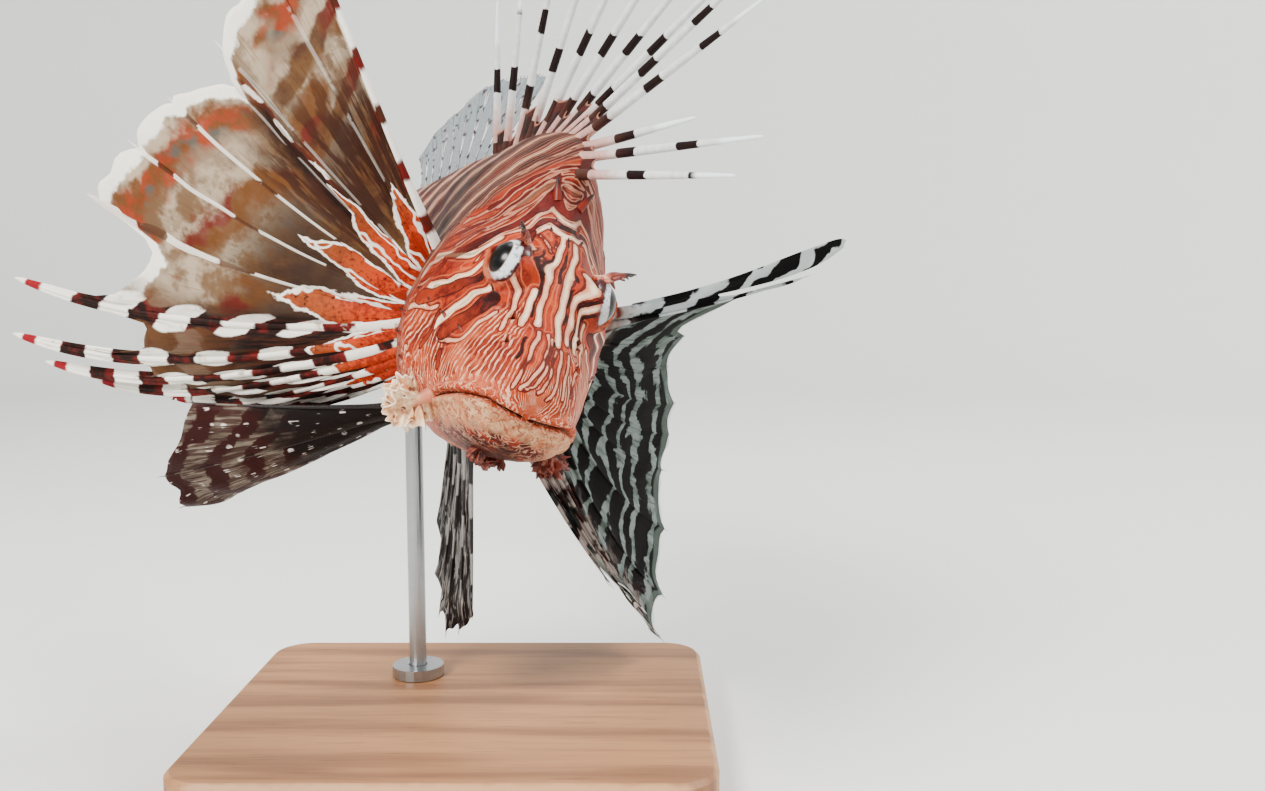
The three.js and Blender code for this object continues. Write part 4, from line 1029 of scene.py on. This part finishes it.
# rows of [u, distance of the root, lean back, splay to the left, length]
middleFins = {
    "spinyDorsal": {
        "up": 1, "rays": 13, "rayName": "dorsalSpines", "sink": 3, "bow": 0, "stout": [1] * 13,
        "table": [[0, 66, -68, 21, 61], [0.083, 72, -64, 20, 69], [0.167, 78, -55, 22, 44],
                  [0.25, 84, -47, 9, 84], [0.42, 95, -35, 8, 92], [0.58, 107, -23, 1, 92],
                  [0.75, 119, -6, -9, 82], [0.92, 131, 6, -20, 60], [1, 136, 12, -24, 52]],
        "reach": [(0.12 if g < 3 else 0.15) * (1 + 0.3 * math.sin(3 * g)) for g in range(12)],
        "web": {"rows": 24, "fringe": 3, "tip": 0.22, "swell": 0.6, "swellReach": 0.2, "ripple": 0.3,
                "billow": 0.1},
        "rods": {"radius": 1.35, "blunt": 0.3, "power": 2.2, "points": 44, "swell": 0.6, "swellReach": 0.15,
                 "sides": 10},
    },
    "softDorsal": {"up": 1, "rays": 11, "sink": 3, "bow": 2, "reach": [0.93] * 10, **softShape,
                   "table": [[0, 142, 23, 11, 42], [0.2, 150, 37, 5, 46], [0.4, 160, 48, -2, 48],
                             [0.6, 171, 59, -4, 46], [0.8, 184, 64, -6, 40], [1, 194, 68, -7, 28]]},
    "anal": {"up": -1, "rays": 10, "sink": 3, "bow": -2, "reach": [0.93] * 9, **softShape,
             "table": [[0, 156, 26, 0, 20], [0.11, 160, 30, 0, 28], [0.22, 164, 34, 0, 36],
                       [0.4, 171, 40, 0, 46], [0.75, 184, 54, 0, 44], [1, 191, 66, 0, 28]]},
}
caudalFin = {"rays": 13, "base": 225, "spread": 32, "length": 74, "outer": 0.88, "turn": 14, "tilt": 13,
             "halfHeight": 8.5, "level": 3.4, "bow": 1.5, "reach": [0.93] * 12, **softShape}


# path(u, t) is the line of the ray at u, t from root to tip; lay gives its root, direction, length and bow
def rayPath(lay, fin):
    def path(u, t):
        u, t = np.broadcast_arrays(np.asarray(u, float), np.asarray(t, float))
        root, way, length, bow = lay(fin, u)
        return root + way * (length * t)[..., None] + np.stack(bow, axis=-1) * (4 * t * (1 - t))[..., None]
    return path


def fanWay(side, fan, sweep):
    f, w = np.radians(fan), np.radians(sweep)
    return np.stack([-np.sin(w), side * np.cos(w) * np.sin(f), np.cos(w) * np.cos(f)], axis=-1)


def pectoralLay(fin, u):
    place, side = pectorals["root"], fin["side"]
    fan, sweep, length, down, forward = rowAt(fin["table"], u)
    angle = side * angleAtLevel(place["s"], place["top"] + (place["bottom"] - place["top"]) * u)
    root = skinPoint(place["s"], angle) - skinNormal(place["s"], angle) * place["sink"]
    return root, fanWay(side, fan, sweep), length, (forward, 0 * u, -down)


def pelvicLay(fin, u):
    place, side = pelvics["root"], fin["side"]
    fan, sweep, length, forward = rowAt(fin["table"], u)
    s = place["front"] + (place["back"] - place["front"]) * u
    out = side * place["out"] * (1 - place["narrowing"] * u)
    root = np.stack([-s, out, bellyAt(s) + place["sink"]], axis=-1)
    return root, fanWay(side, fan, sweep), length, (forward, 0 * u, 0 * u)


def middleLay(fin, u):
    s, lean, splay, length = rowAt(fin["table"], u)
    lean, splay, up = np.radians(lean), np.radians(splay), fin["up"]
    level = droop(s) + (backAt(s) - fin["sink"] if up > 0 else bellyAt(s) + fin["sink"])
    way = np.stack([-np.sin(lean) * np.cos(splay), np.sin(splay), up * np.cos(lean) * np.cos(splay)], axis=-1)
    return np.stack([-s, sway(s), level], axis=-1), way, length, (0 * u, 0 * u, 0 * u + up * fin["bow"])


def caudalLay(fin, u):
    v, base, outer = 1 - 2 * u, fin["base"], fin["outer"]
    rise, yaw = np.radians(fin["spread"] * v - fin["tilt"]), math.radians(fin["turn"])
    way = np.stack([-np.cos(rise) * math.cos(yaw), -np.cos(rise) * math.sin(yaw), np.sin(rise)], axis=-1)
    level = droop(base) + fin["level"] + fin["halfHeight"] * v
    length = fin["length"] * (outer + (1 - outer) * np.cos(v * math.pi / 2))
    root = np.stack([0 * u - base, 0 * u + sway(base), level], axis=-1)
    return root, way, length, (0 * u, 0 * u + fin["bow"], 0 * u)


# how far the flesh of the root thickens the fin
def rootSwell(k, t, rays, look):
    fade = np.maximum(0, 1 - t / look["swellReach"])
    fullness = np.sqrt(np.sin(math.pi * (0.1 + 0.8 * k / (rays - 1))))
    return look["swell"] * fade * fade * (3 - 2 * fade) * fullness


# the membrane: one closed pleated sheet, whose edge dips between the rays down to reach
def webPiece(name, path, fin, material):
    look, rays = {**webLook, **fin["web"]}, fin["rays"]
    position = np.linspace(0, rays - 1, (rays - 1) * look["perGap"] + 1)
    k = np.minimum(position.astype(int), rays - 2)
    w, reach = position - k, np.array(fin["reach"], float)[k]
    dip = reach + (look["tip"] - reach) * np.abs(2 * w - 1) ** look["fringe"]
    q = np.linspace(0, 1, look["rows"])
    t = (dip * (1 + look["ragged"] * waver(position[:, None] * 7, 5, 5)))[:, None] * q
    k, w = k[:, None], w[:, None]
    u = k / (rays - 1)
    one, two = path(u, t), path((k + 1) / (rays - 1), t)
    face = unit(np.cross(two - one, path(u, t + 0.02) - path(u, t - 0.02)))
    gap = np.linalg.norm(two - one, axis=-1)
    pleat = look["billow"] + look["pleat"] * ease(0.8, 0.2, t)
    grid = one + (two - one) * w[..., None] - face * (pleat * gap * 4 * w * (1 - w))[..., None]
    grid = grid + face * (look["ripple"] * waver(grid, look["rippleSize"], 8) * q ** 2)[..., None]
    half = np.maximum(look["half"] * (1.25 - 0.7 * q), rootSwell(k + w, t, rays, look))
    places = position[:, None] / (rays - 1)
    length = np.linalg.norm(path(places, 1.0) - path(places, 0.0), axis=-1)
    values = {"rayPlace": position[:, None], "along": t * length, "fromTip": (1 - t) * length,
              "fromEdge": (dip[:, None] - t) * length, "share": t}
    return meshPiece(name, *sheetArrays(grid, half, values), material)


# the rays of a fin as tapered tubes; with branches, they fork towards the edge
def rayPiece(name, path, fin, material):
    look, rays, lines = {**rodLook, **fin["rods"]}, fin["rays"], []
    t, branches, blunt = np.linspace(0.0, 1.0, look["points"]), look["branches"], look["blunt"]
    for k in range(rays):
        swell = 0.92 * rootSwell(k, t, rays, look)
        for branch in range(branches):
            share = (branch + 0.5) / branches - 0.5
            first = 0.5 * np.sign(share)
            stray = first * ease(0.3, 0.75, t) * 0.45 + (share - first * 0.5) * ease(0.58, 1.0, t) * 0.95
            line = path(np.clip((k + stray) / (rays - 1), 0, 1), t * (1 - 0.05 * abs(share)))
            length = np.linalg.norm(line[-1] - line[0])
            values = {"along": t * length, "fromTip": (1 - t) * length, "rayPlace": float(k)}
            if branches > 1:
                radii = look["radius"] * (1 - 0.78 * t) + swell
            else:
                values.update(share=t, fromEdge=np.maximum(0.97 - t, 0) * length)
                taper = blunt + (1 - blunt) * (1 - t ** look["power"])
                radii = fin["stout"][k] * look["radius"] * taper + swell
                radii[-1] *= 0.35
            lines.append((line, radii, values))
    return tubes(name, lines, material, look["sides"])


def strapPiece(name, path, rays, look, material):
    sheets, q, across = [], np.linspace(look["start"], 1, 60), np.linspace(-1, 1, 11)[:, None]
    for k in look["rays"]:
        u = k / (rays - 1)
        centre = path(u, q)
        run = np.gradient(centre, axis=0)
        side = unit(path(min(u + 0.04, 1), q) - path(max(u - 0.04, 0), q))
        flat = unit(np.cross(np.array(straps["front"]) @ turned, run))
        flat = flat * np.sign((flat * side).sum(axis=-1, keepdims=True))
        side = unit(side + (flat - side) * look["turn"] * ease(6, 8, k))
        wide = look["root"] + (look["half"] - look["root"]) * ease(look["start"], look["widest"], q)
        past = np.clip((q - 1 + look["taper"]) / look["taper"], 0, 1)
        wide = wide * np.sqrt(np.clip(1 - past ** 2, 0.004, 1))
        curl = 0.1 * look["half"] * np.sin(across * 2.2) * np.sin(q * 9 + k)
        grid = centre + side * (across * wide)[..., None] + unit(np.cross(side, run)) * curl[..., None]
        length = np.linalg.norm(path(u, 1.0) - path(u, 0.0))
        values = {"rayPlace": float(k), "along": q * length, "fromTip": (1 - q) * length, "fromEdge": 20.0}
        sheets.append(sheetArrays(grid, (0.62 - 0.3 * q) * (1 - 0.55 * across ** 2), values))
    return meshPiece(name, *gathered(sheets), material)


def fishFin(node, name, fin, lay, webFinish, rayFinish, strapLook=None):
    path = rayPath(lay, fin)
    web = webPiece(name + "Web", path, fin, webFinish)
    rays = rayPiece(fin.get("rayName", name + "Rays"), path, fin, rayFinish)
    if strapLook:
        rays = joined(rays.name, [rays, strapPiece(name + "Straps", path, fin["rays"], strapLook, rayFinish)])
    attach(web, "root")
    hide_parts(node)
    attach(rays, "root")


rightLook = {
    "white": "#e9e3d9", "pale": "#9d8c76", "paleShade": "#6e5b48", "thread": "#4f3023",
    "rootShade": "#3e2d22", "shadow": "#2c201a", "orange": "#7f280d", "amber": "#764524", "heart": "#45423c",
    "olive": "#583a1e", "ochre": "#583212", "red": "#560f0a", "brown": "#3a1c10", "dark": "#1a0a07",
    "black": "#0e0504", "maroon": "#5a1410", "flame": "#ae380e", "flameDark": "#861f06",
    "crimson": "#7a0f1a", "period": 20, "blotches": 15.5, "firstBlotch": 27, "rayDots": 27, "foldDots": 13,
    "webBands": 19, "tongues": 35,
}
# the left pectoral's tones are darkened as painted shade, with a painted green tint of the light
leftLook = {
    "black": "#060505", "dark": "#0f0c0b", "green": "#4a544d", "grey": "#6f7774", "white": "#c9cdd0",
    "pale": "#7f736c", "maroon": "#2e0d0b", "rust": "#4c1c13", "spacing": 16, "strapPeriod": 22,
}


# the right pectoral: white-edged lobes with blotchy bands, then straps on the lower rays
def rightPectoralColours(look):
    m = Sheet("rightPectoral", look)
    ray, along, fromTip, fromEdge = m.values("rayPlace", "along", "fromTip", "fromEdge")
    blur, fine = m.noise(190, 3, 0.6), m.noise(900, 2, 0.6)
    broad, soft = m.noise(55, 1.5), m.noise(110, 3, 0.6)
    streak, thread = m.streaks(ray * 5, along * 0.055, 0.0, 3), m.streaks(ray * 16, along * 0.07, 3.0)
    mid = 1 - ray.nearWhole()  # 0 on a ray, 1 half way to the next
    edge = fromEdge + blur.stray(8) + soft.stray(12)
    freckles = m.noise(230, 3, 0.65).rise(0.5, 0.62) * edge.rise(14, 28) * 0.6
    freckles = freckles.most(ray.rise(3.8, 5.4) * soft.rise(0.4, 0.56) * edge.rise(4, 14) * 0.75)

    # three bands that run along the margin: orange with grey hearts, olive, brown
    first = edge.band(5, 9, 13, 19) * m.noise(60).rise(0.36, 0.46)
    heart = (edge + 1).rise(9, 13) * edge.rise(19, 14) * m.noise(150, 1.5).rise(0.52, 0.64)
    second = edge.band(25, 31, 35, 42) * broad.rise(0.3, 0.42)
    third = edge.band(46, 54, 66, 78)
    # bars that cross the leading web, one behind each blotch of the first ray
    bars = (fromTip - look["firstBlotch"] + ray * 2.2 + soft.stray(9)).beat(look["blotches"], math.pi / 2)
    bars = bars.rise(0.05, 0.75) * ray.rise(2.5, 1.7) * fromTip.rise(16, 20)
    # painted shade of the folds between the two upper lobes, with a dotted ray beside them, and a painted
    # shade on the shoulder
    wavyRay = ray + blur.stray(0.35)
    foldPlace = (wavyRay - 3.0 + along * 0.004).size()
    foldShade = foldPlace.rise(0.85, 0.3) * along.rise(10, 20) * fromEdge.rise(3, 14)
    crease = (wavyRay - 2.35).size().rise(0.16, 0.06) * along.rise(10, 20) * fromEdge.rise(2, 8)
    dots = (along + blur * 14).beat(look["foldDots"]).rise(-0.3, 0.3)
    shoulder = streak.rise(0.42, 0.52) * along.rise(12, 24) * along.rise(74, 44) * ray.rise(4.2, 3.4)
    outer = m.over(
        m.mix(soft.rise(0.4, 0.62) * 0.8, "pale", "paleShade"),
        (thread.rise(0.58, 0.66) * 0.3, "thread"),
        (along.rise(64, 40) * 0.85, "rootShade"),
        (freckles, "olive"),
        (first * 0.94, m.mix(heart, m.mix(blur.rise(0.4, 0.62), "orange", "ochre"), "heart")),
        (second * 0.9, m.mix(m.noise(75, 1.5).rise(0.56, 0.62), "ochre", "red")),
        (third * 0.88, m.mix(blur.rise(0.35, 0.65), "brown", "olive")),
        (bars * 0.92, m.mix(ray.rise(0.8, 0.15), m.mix(blur.rise(0.3, 0.7), "brown", "olive"), "red")),
        (foldShade, m.mix(foldPlace.rise(0.2, 0.6), "dark", "olive")),
        (crease * 0.9, m.mix(dots, "white", m.mix(blur, "red", "brown"))),
        (shoulder * 0.92, m.mix(blur, "brown", "dark")),
        ((along + soft.stray(30)).rise(58, 34) * ray.rise(3.6, 4.4) * 0.75, "shadow"),
        # thin white rays with dark red dots, and the white margin
        (mid.rise(0.10, 0.05) * (ray.rise(3.4, 3.6) * 0.5 + 0.2),
         m.mix((along + blur * 16).beat(look["rayDots"]).rise(0.6, 0.8), "white", "brown")),
        ((fromEdge + blur.stray(6)).rise(5, 3.5), "white"),
    )

    # straps along the lower rays: white cigars and maroon gaps, the web between them dark and blotched, with
    # painted shade deepening it towards the root
    beat = (fromTip + (ray + 0.5).steps(7.0) + blur.stray(3)).beat(look["period"])
    strap = m.over(
        m.mix(beat.rise(-0.14, 0.14), m.mix((blur - 0.5).size().rise(0.1, 0.3), "white", "pale"),
              m.mix(blur.rise(0.35, 0.6), "maroon", "dark")),
        (fromTip.rise(13, 11.5), "white"),
        (fromTip.band(3.5, 4.5, 9, 10.5), "crimson"))
    webBands = (fromEdge + blur.stray(10) + soft.stray(8)).beat(look["webBands"]).rise(-0.3, 0.3)
    between = m.mix(webBands, m.mix(streak, "paleShade", "thread"), m.mix(blur, "brown", "olive"))
    # painted shade: the web between the straps darkens to black and brown towards the root
    between = m.mix((along + ray * 4).rise(104, 78), between, m.mix(streak.rise(0.4, 0.6), "black", "brown"))
    strapEdge = mid + blur.stray(0.2) + beat * 0.16 - along.rise(70, 20) * 0.12 - ray.rise(8, 10) * 0.28
    lower = m.mix(strapEdge.rise(0.38, 0.5), strap, between)

    # flame-like orange tongues on the fleshy root, outlined with white
    place = ray * 0.56 + m.noise(70).stray(0.6)
    ratio = along / (look["tongues"] + place.steps(14.0) - ray.rise(7.5, 10) * 12)
    tongue = (1 - place.nearWhole()) - ratio * ratio + m.noise(200, 3, 0.6).stray(0.45)
    veins = (ray * 1.1 + m.noise(90).stray(2.4)).nearWhole().rise(0.16, 0.08) * along.rise(3, 8)
    flame = m.over(m.mix((fine + soft).rise(0.9, 1.1), "flame", "flameDark"),
                   (along.rise(12, 30) * 0.6, "amber"), (fine.rise(0.62, 0.7) * 0.8, "dark"),
                   (veins * 0.9, "white"))
    # the thick leading ray: white with red-brown blotches
    blotch = (fromTip - look["firstBlotch"] + blur.stray(4)).beat(look["blotches"], math.pi / 2).rise(0.1, 0.7)
    leading = m.mix(blotch * fromTip.rise(16, 20), "white", m.mix(blur.rise(0.4, 0.6), "red", "brown"))
    flame = m.mix(tongue.rise(0.09, 0.14), "white", flame)
    web = m.over(outer, ((ray + blur.stray(0.4)).rise(6.35, 6.9), lower),
                 (tongue.rise(-0.03, 0.03) * along.rise(50, 42), flame), (ray.rise(0.16, 0.08), leading))
    return m.finish(web, 0.55 + fine * 0.12, 0.1, (streak * 0.5 + thread * 0.8 + fine * 0.3, 0.0005, 0.7))


# the left pectoral, painted dark as a fin in shade: near black, with wavy grey-green bands along the margin,
# their green a painted tint of the light
def leftPectoralShadedColours(look):
    m = Sheet("leftPectoral", look)
    ray, along, fromTip, fromEdge = m.values("rayPlace", "along", "fromTip", "fromEdge")
    blur, fine, broad = m.noise(120, 3, 0.6), m.noise(900, 2, 0.6), m.noise(45, 1.5)
    streak, thread = m.streaks(ray * 3, along * 0.06, 0.0, 3), m.streaks(ray * 16, along * 0.05, 3.0)
    edge = fromTip + blur.stray(14) + broad.stray(36)
    bands = ((edge + 3).beat(look["spacing"]) + streak.stray(2.6)).rise(0.2, 0.6)
    ragged = m.mix((streak + blur.stray(0.6)).rise(0.48, 0.56),
                   m.mix(blur.rise(0.4, 0.6), "black", "maroon"), "pale")
    stagger = m.noise(80, 2, 0.6).stray(30) + blur.stray(10)
    strapBars = (fromTip + stagger - 6).beat(look["strapPeriod"]).rise(-0.15, 0.3)
    web = m.over(
        m.mix(bands, m.mix(blur, "black", "dark"), m.mix(streak.rise(0.35, 0.6), "green", "grey")),
        (thread.rise(0.55, 0.66) * 0.5, "dark"),
        ((ray + blur.stray(2)).rise(8.0, 9.6) * 0.92, ragged),
        (fromEdge.rise(8, 6) * 0.8, "green"),
        (fromEdge.rise(2.6, 2.0), "maroon"),
        (fromEdge.rise(1.8, 1.2), "white"),
        ((ray + blur.stray(0.2)).rise(1.25, 1.0), m.mix(strapBars, m.mix(thread, "white", "grey"), "black")),
        (along.rise(30, 16), m.mix(streak.rise(0.45, 0.55), "rust", "pale")),
    )
    return m.finish(web, 0.8, 0.05, (streak * 0.5 + thread * 0.8 + fine * 0.3, 0.0005, 0.7))


# banded rays; stray shifts the bands from ray to ray, share is where the wave turns dark
def rayColours(name, look):
    m = Sheet(name, look)
    along, fromTip, ray = m.values("along", "fromTip", "rayPlace")
    blur, share = m.noise(500, 2, 0.6), look["share"]
    bands = (fromTip + (ray + 0.5).steps(look["stray"]) + blur.stray(1.5)).beat(look["period"])
    shaft = m.mix(bands.rise(share - 0.1, share + 0.1), m.mix(blur, "white", "pale"),
                  m.mix(blur, "band", "bandDark"))
    if "root" in look:
        shaft = m.mix(along.rise(look["rootReach"], look["rootReach"] - 8), shaft, "root")
    return m.finish(shaft, 0.45, 0.3, (along.beat(1.3) * 0.2 + blur * 0.4, 0.0002, 0.5))


for label, finish in (("right", rightPectoralColours(rightLook)), ("left", leftPectoralShadedColours(leftLook))):
    fishFin("pectoral_fin_" + label, label + "Pectoral", pectorals[label], pectoralLay, finish, finish,
            straps[label])
print("pectoral fins made")

pelvicLooks = {
    "right": {"pale": "#74685c", "paleShade": "#4a3e35", "band": "#2a0a08", "deep": "#0f0707",
              "white": "#e2d8d0", "period": 13, "darkTo": 52, "specks": 0.9, "lengthwise": False},
    "left": {"pale": "#8d8a88", "paleShade": "#6a6563", "band": "#0f0a0a", "deep": "#0c0808",
             "white": "#b9b4b0", "period": 24, "darkTo": 8, "specks": 0.4, "lengthwise": True},
}


def pelvicColours(name, look):
    m = Sheet(name, look)
    ray, along, fromEdge = m.values("rayPlace", "along", "fromEdge")
    blur, fine = m.noise(170, 3, 0.6), m.noise(800, 2, 0.6)
    streak, thread = m.streaks(ray * 4, along * 0.05, 0.0, 3, 0.65), m.streaks(ray * 18, along * 0.08, 3.0)
    beat = (fromEdge + (ray * 2).steps(4.0) + blur.stray(9)).beat(look["period"])
    if look["lengthwise"]:
        outer = m.mix(streak.rise(0.49, 0.54), "deep", m.mix(blur, "pale", "paleShade"))
    else:
        ground = m.mix(streak.rise(0.4, 0.6), "pale", "paleShade")
        outer = m.mix((beat + streak.stray(1.6)).rise(-0.2, 0.3), ground, "band")
    specks = m.cells(260).rise(0.3, 0.2) * thread.rise(0.47, 0.43) * along.rise(12, 20)
    web = m.over(outer, (thread.rise(0.46, 0.54) * 0.8, "band"),
                 ((along + blur.stray(24)).rise(look["darkTo"], look["darkTo"] - 14), "deep"),
                 (specks * look["specks"], "white"))
    return m.finish(web, 0.6, 0.1, (streak * 0.4 + thread * 0.8 + fine * 0.3, 0.0005, 0.7))


for label, look in pelvicLooks.items():
    name = label + "Pelvic"
    tint = {**look, "white": look["pale"], "pale": look["paleShade"], "bandDark": look["deep"],
            "root": look["deep"], "rootReach": look["darkTo"], "stray": 3.0, "share": -0.1}
    fishFin("pelvic_fin_" + label, name, pelvics[label], pelvicLay,
            pelvicColours(name + "Web", look), rayColours(name + "Rays", tint))
print("pelvic fins made")

spineLook = {"pale": "#dfe2e3", "paleShade": "#aeb0ae", "band": "#070405", "bandShade": "#1d0b08",
             "tip": "#dfe6ea", "root": "#c98d78", "rootShade": "#8a3a28", "period": 23, "web": "#140404",
             "webShade": "#2c0a06", "webBar": "#511a10", "webEdge": "#8a5a4a", "webBars": 13}


def spineColours():
    m = Sheet("bandedSpines", spineLook)
    along, fromTip, ray = m.values("along", "fromTip", "rayPlace")
    blur = m.noise(400, 2, 0.6)
    bands = (fromTip + (ray + 0.5).steps(12.0)).beat(spineLook["period"], blur.stray(0.5)).rise(0.5, 0.58)
    spine = m.over(m.mix(bands, m.mix(blur, "pale", "paleShade"), m.mix(blur, "band", "bandShade")),
                   (fromTip.rise(15, 12), "tip"),
                   (along.rise(24, 9) * (0.75 - bands * 0.65), m.mix(blur, "root", "rootShade")))
    return m.finish(spine, 0.55, 0.12, (m.noise(900), 0.0002, 0.4))


def dorsalWebColours():
    m = Sheet("dorsalWeb", spineLook)
    along, fromEdge = m.values("along", "fromEdge")
    blur = m.noise(220, 3, 0.6)
    web = m.over(m.mix(blur, "web", "webShade"),
                 ((along + blur.stray(4)).beat(spineLook["webBars"]).rise(-0.2, 0.2) * 0.4, "webBar"),
                 (fromEdge.rise(0.9, 0.5), "webEdge"))
    return m.finish(web, 0.5, 0.22, (m.noise(700), 0.0003, 0.5))


softLooks = {
    "rays": {"white": "#eceae6", "pale": "#cfc9c0", "band": "#4a211b", "bandDark": "#2c1512", "period": 11,
             "share": 0.86, "stray": 5.0},
    "clear": {"pale": "#4f6272", "paleShade": "#384957", "dot": "#3a1812", "every": 8, "alpha": 0.42},
    "dotted": {"pale": "#d6d0c8", "paleShade": "#a39a90", "dot": "#3a1812", "every": 8, "alpha": 0.38},
}


# a clear film with rows of dark dots beside its rays
def dottedColours(name, look):
    m = Sheet(name, look)
    ray, along = m.values("rayPlace", "along")
    blur = m.noise(260, 2, 0.6)
    rows = (along + (ray + 0.5).steps(5.0) + blur.stray(8)).beat(look["every"]).rise(0.72, 0.88)
    dots = rows * (1 - ray.nearWhole()).rise(0.3, 0.12)
    web = m.mix(dots * 0.85, m.mix(blur, "pale", "paleShade"), "dot")
    film = {"Alpha": look["alpha"] + dots * (1 - look["alpha"])}
    return m.finish(web, 0.4, 0.25, (blur, 0.0003, 0.4), film)


rayTone = rayColours("softRays", softLooks["rays"])
clear = dottedColours("softDorsalWeb", softLooks["clear"])
dotted = dottedColours("tailWebs", softLooks["dotted"])
fishFin("spiny_dorsal_fin", "dorsal", middleFins["spinyDorsal"], middleLay, dorsalWebColours(),
        spineColours())
fishFin("soft_dorsal_fin", "softDorsal", middleFins["softDorsal"], middleLay, clear, rayTone)
fishFin("anal_fin", "anal", middleFins["anal"], middleLay, dotted, rayTone)
fishFin("caudal_fin", "caudal", caudalFin, caudalLay, dotted, rayTone)
print("middle fins made")

# Stand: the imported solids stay, with an oiled wood base and brushed steel rod and collar
stand = {"light": "#a9764a", "dark": "#6b4023", "pore": "#3b2110", "wornAndLit": "#c79a6c", "steel": "#b4b6b8",
         "steelDark": "#8b8e91", "rings": 260}


def woodFinish():
    m = Sheet("oiledWood", stand)
    low, high = (np.array(c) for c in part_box("stand_base"))
    drift, fibre = m.grain((5, 60, 60), 3, 0.55), m.grain((40, 1400, 1400), 3, 0.7)
    x, y = (m.node("ShaderNodeSeparateXYZ", {}, {0: m.place()}, axis) for axis in "XY")
    rings = ((y * stand["rings"] + drift * 16).sine() + 1) * 0.5
    middle, half = (low + high) / 2, (high - low) / 2
    toSide = (half[0] - (x - float(middle[0])).size()).least(half[1] - (y - float(middle[1])).size())
    # the edges of the base lightened, partly wear and partly a painted highlight
    edgeWearAndHighlight = (toSide * 1000 + m.noise(160, 3).stray(3)).rise(2.0, 0.4)
    wood = m.over(m.mix(rings * 0.6 + drift * 0.3, "light", "dark"), (fibre.rise(0.58, 0.72) * 0.6, "pore"),
                  (edgeWearAndHighlight * 0.45, "wornAndLit"))
    return m.finish(wood, 0.42 + fibre * 0.2, 0.5, (fibre + rings * 0.3, 0.0002, 0.5))


def steelFinish():
    m = Sheet("brushedSteel", stand)
    lines, haze = m.grain((300, 300, 9000), 3, 0.7), m.noise(60, 3, 0.6)
    colour = m.mix(lines * 0.6 + haze * 0.3, "steel", "steelDark")
    return m.finish(colour, 0.24 + lines * 0.14 + haze * 0.08, 0.5, (lines, 0.00003, 0.4), {"Metallic": 1.0})


wood, steel = woodFinish(), steelFinish()
for node, finish in (("stand_base", wood), ("stand_rod", steel), ("stand_collar", steel)):
    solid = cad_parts[node]
    solid.data.materials.clear()
    solid.data.materials.append(finish)
print("stand finished")

# Camera, at the photograph's place and angle
view = {"place": (0.0548, -0.3853, 0.1547), "pitchDown": 6, "lens": 34.15, "sensor": 36, "near": 0.01}
camera = bpy.data.cameras.new("camera")
camera.lens, camera.sensor_width, camera.clip_start = view["lens"], view["sensor"], view["near"]
eyeOfPhoto = linked("camera", camera)
eyeOfPhoto.location = view["place"]
eyeOfPhoto.rotation_euler = (math.radians(90 - view["pitchDown"]), 0, 0)
bpy.context.scene.camera = eyeOfPhoto

# Floor, a round bowl of paper whose rim bends up, and lights: name, place, target, size, power, colour
studio = {
    "centre": -0.8, "reach": 2.5, "bend": 0.5, "height": 1.6, "columns": 96, "paper": "#e6e6e2",
    "shade": "#dadddd", "sky": 0.42, "skyTone": (0.82, 0.87, 0.92, 1),
    "lamps": [
        ("key", (-0.55, -0.75, 0.85), (0, -0.05, 0.13), 0.5, 33.0, (1, 0.97, 0.93)),
        ("fill", (0.9, -0.5, 0.35), (0, -0.05, 0.13), 0.7, 1.5, (0.9, 0.95, 1)),
        ("top", (0.1, 0.35, 1.0), (0, 0, 0.13), 0.6, 4.0, (0.95, 0.98, 1)),
        ("backdrop", (1.3, -0.2, 1.7), (0.9, 1.4, 0.2), 0.8, 60.0, (1, 1, 1)),
    ],
}


def floorPiece():
    bend, reach, columns = studio["bend"], studio["reach"], studio["columns"]
    profile = [(q, 0.0) for q in (0.01, 0.6, 1.2)]
    for a in np.linspace(0, math.pi / 2, 13):
        profile.append((reach - bend + bend * math.sin(a), bend - bend * math.cos(a)))
    profile.append((reach, studio["height"]))
    n, around = len(profile), np.linspace(0, fullTurn, columns + 1)[:-1]
    points = [(r * math.cos(a), studio["centre"] + r * math.sin(a), z) for a in around for r, z in profile]
    faces = [(i * n + j, i * n + j + 1, (i + 1) % columns * n + j + 1, (i + 1) % columns * n + j)
             for i in range(columns) for j in range(n - 1)]
    mesh = bpy.data.meshes.new("floor")
    mesh.from_pydata(points, [], faces + [tuple(i * n for i in range(columns))])
    m = Sheet("paperFloor", studio)
    mesh.materials.append(m.finish(m.mix(m.noise(40) * 0.3, "paper", "shade"), 0.85, 0.5))
    mesh.shade_smooth()
    floor = linked("floor", mesh)


floorPiece()
for name, place, target, size, power, colour in studio["lamps"]:
    lamp = bpy.data.lights.new(name, "AREA")
    lamp.shape, lamp.size, lamp.energy, lamp.color = "DISK", size, power, colour
    shown = linked(name, lamp)
    shown.location = place
    shown.rotation_euler = (Vector(target) - Vector(place)).to_track_quat("-Z", "Y").to_euler()
world = bpy.data.worlds.new("studio")
world.use_nodes = True
world.node_tree.nodes["Background"].inputs["Color"].default_value = studio["skyTone"]
world.node_tree.nodes["Background"].inputs["Strength"].default_value = studio["sky"]
bpy.context.scene.world = world
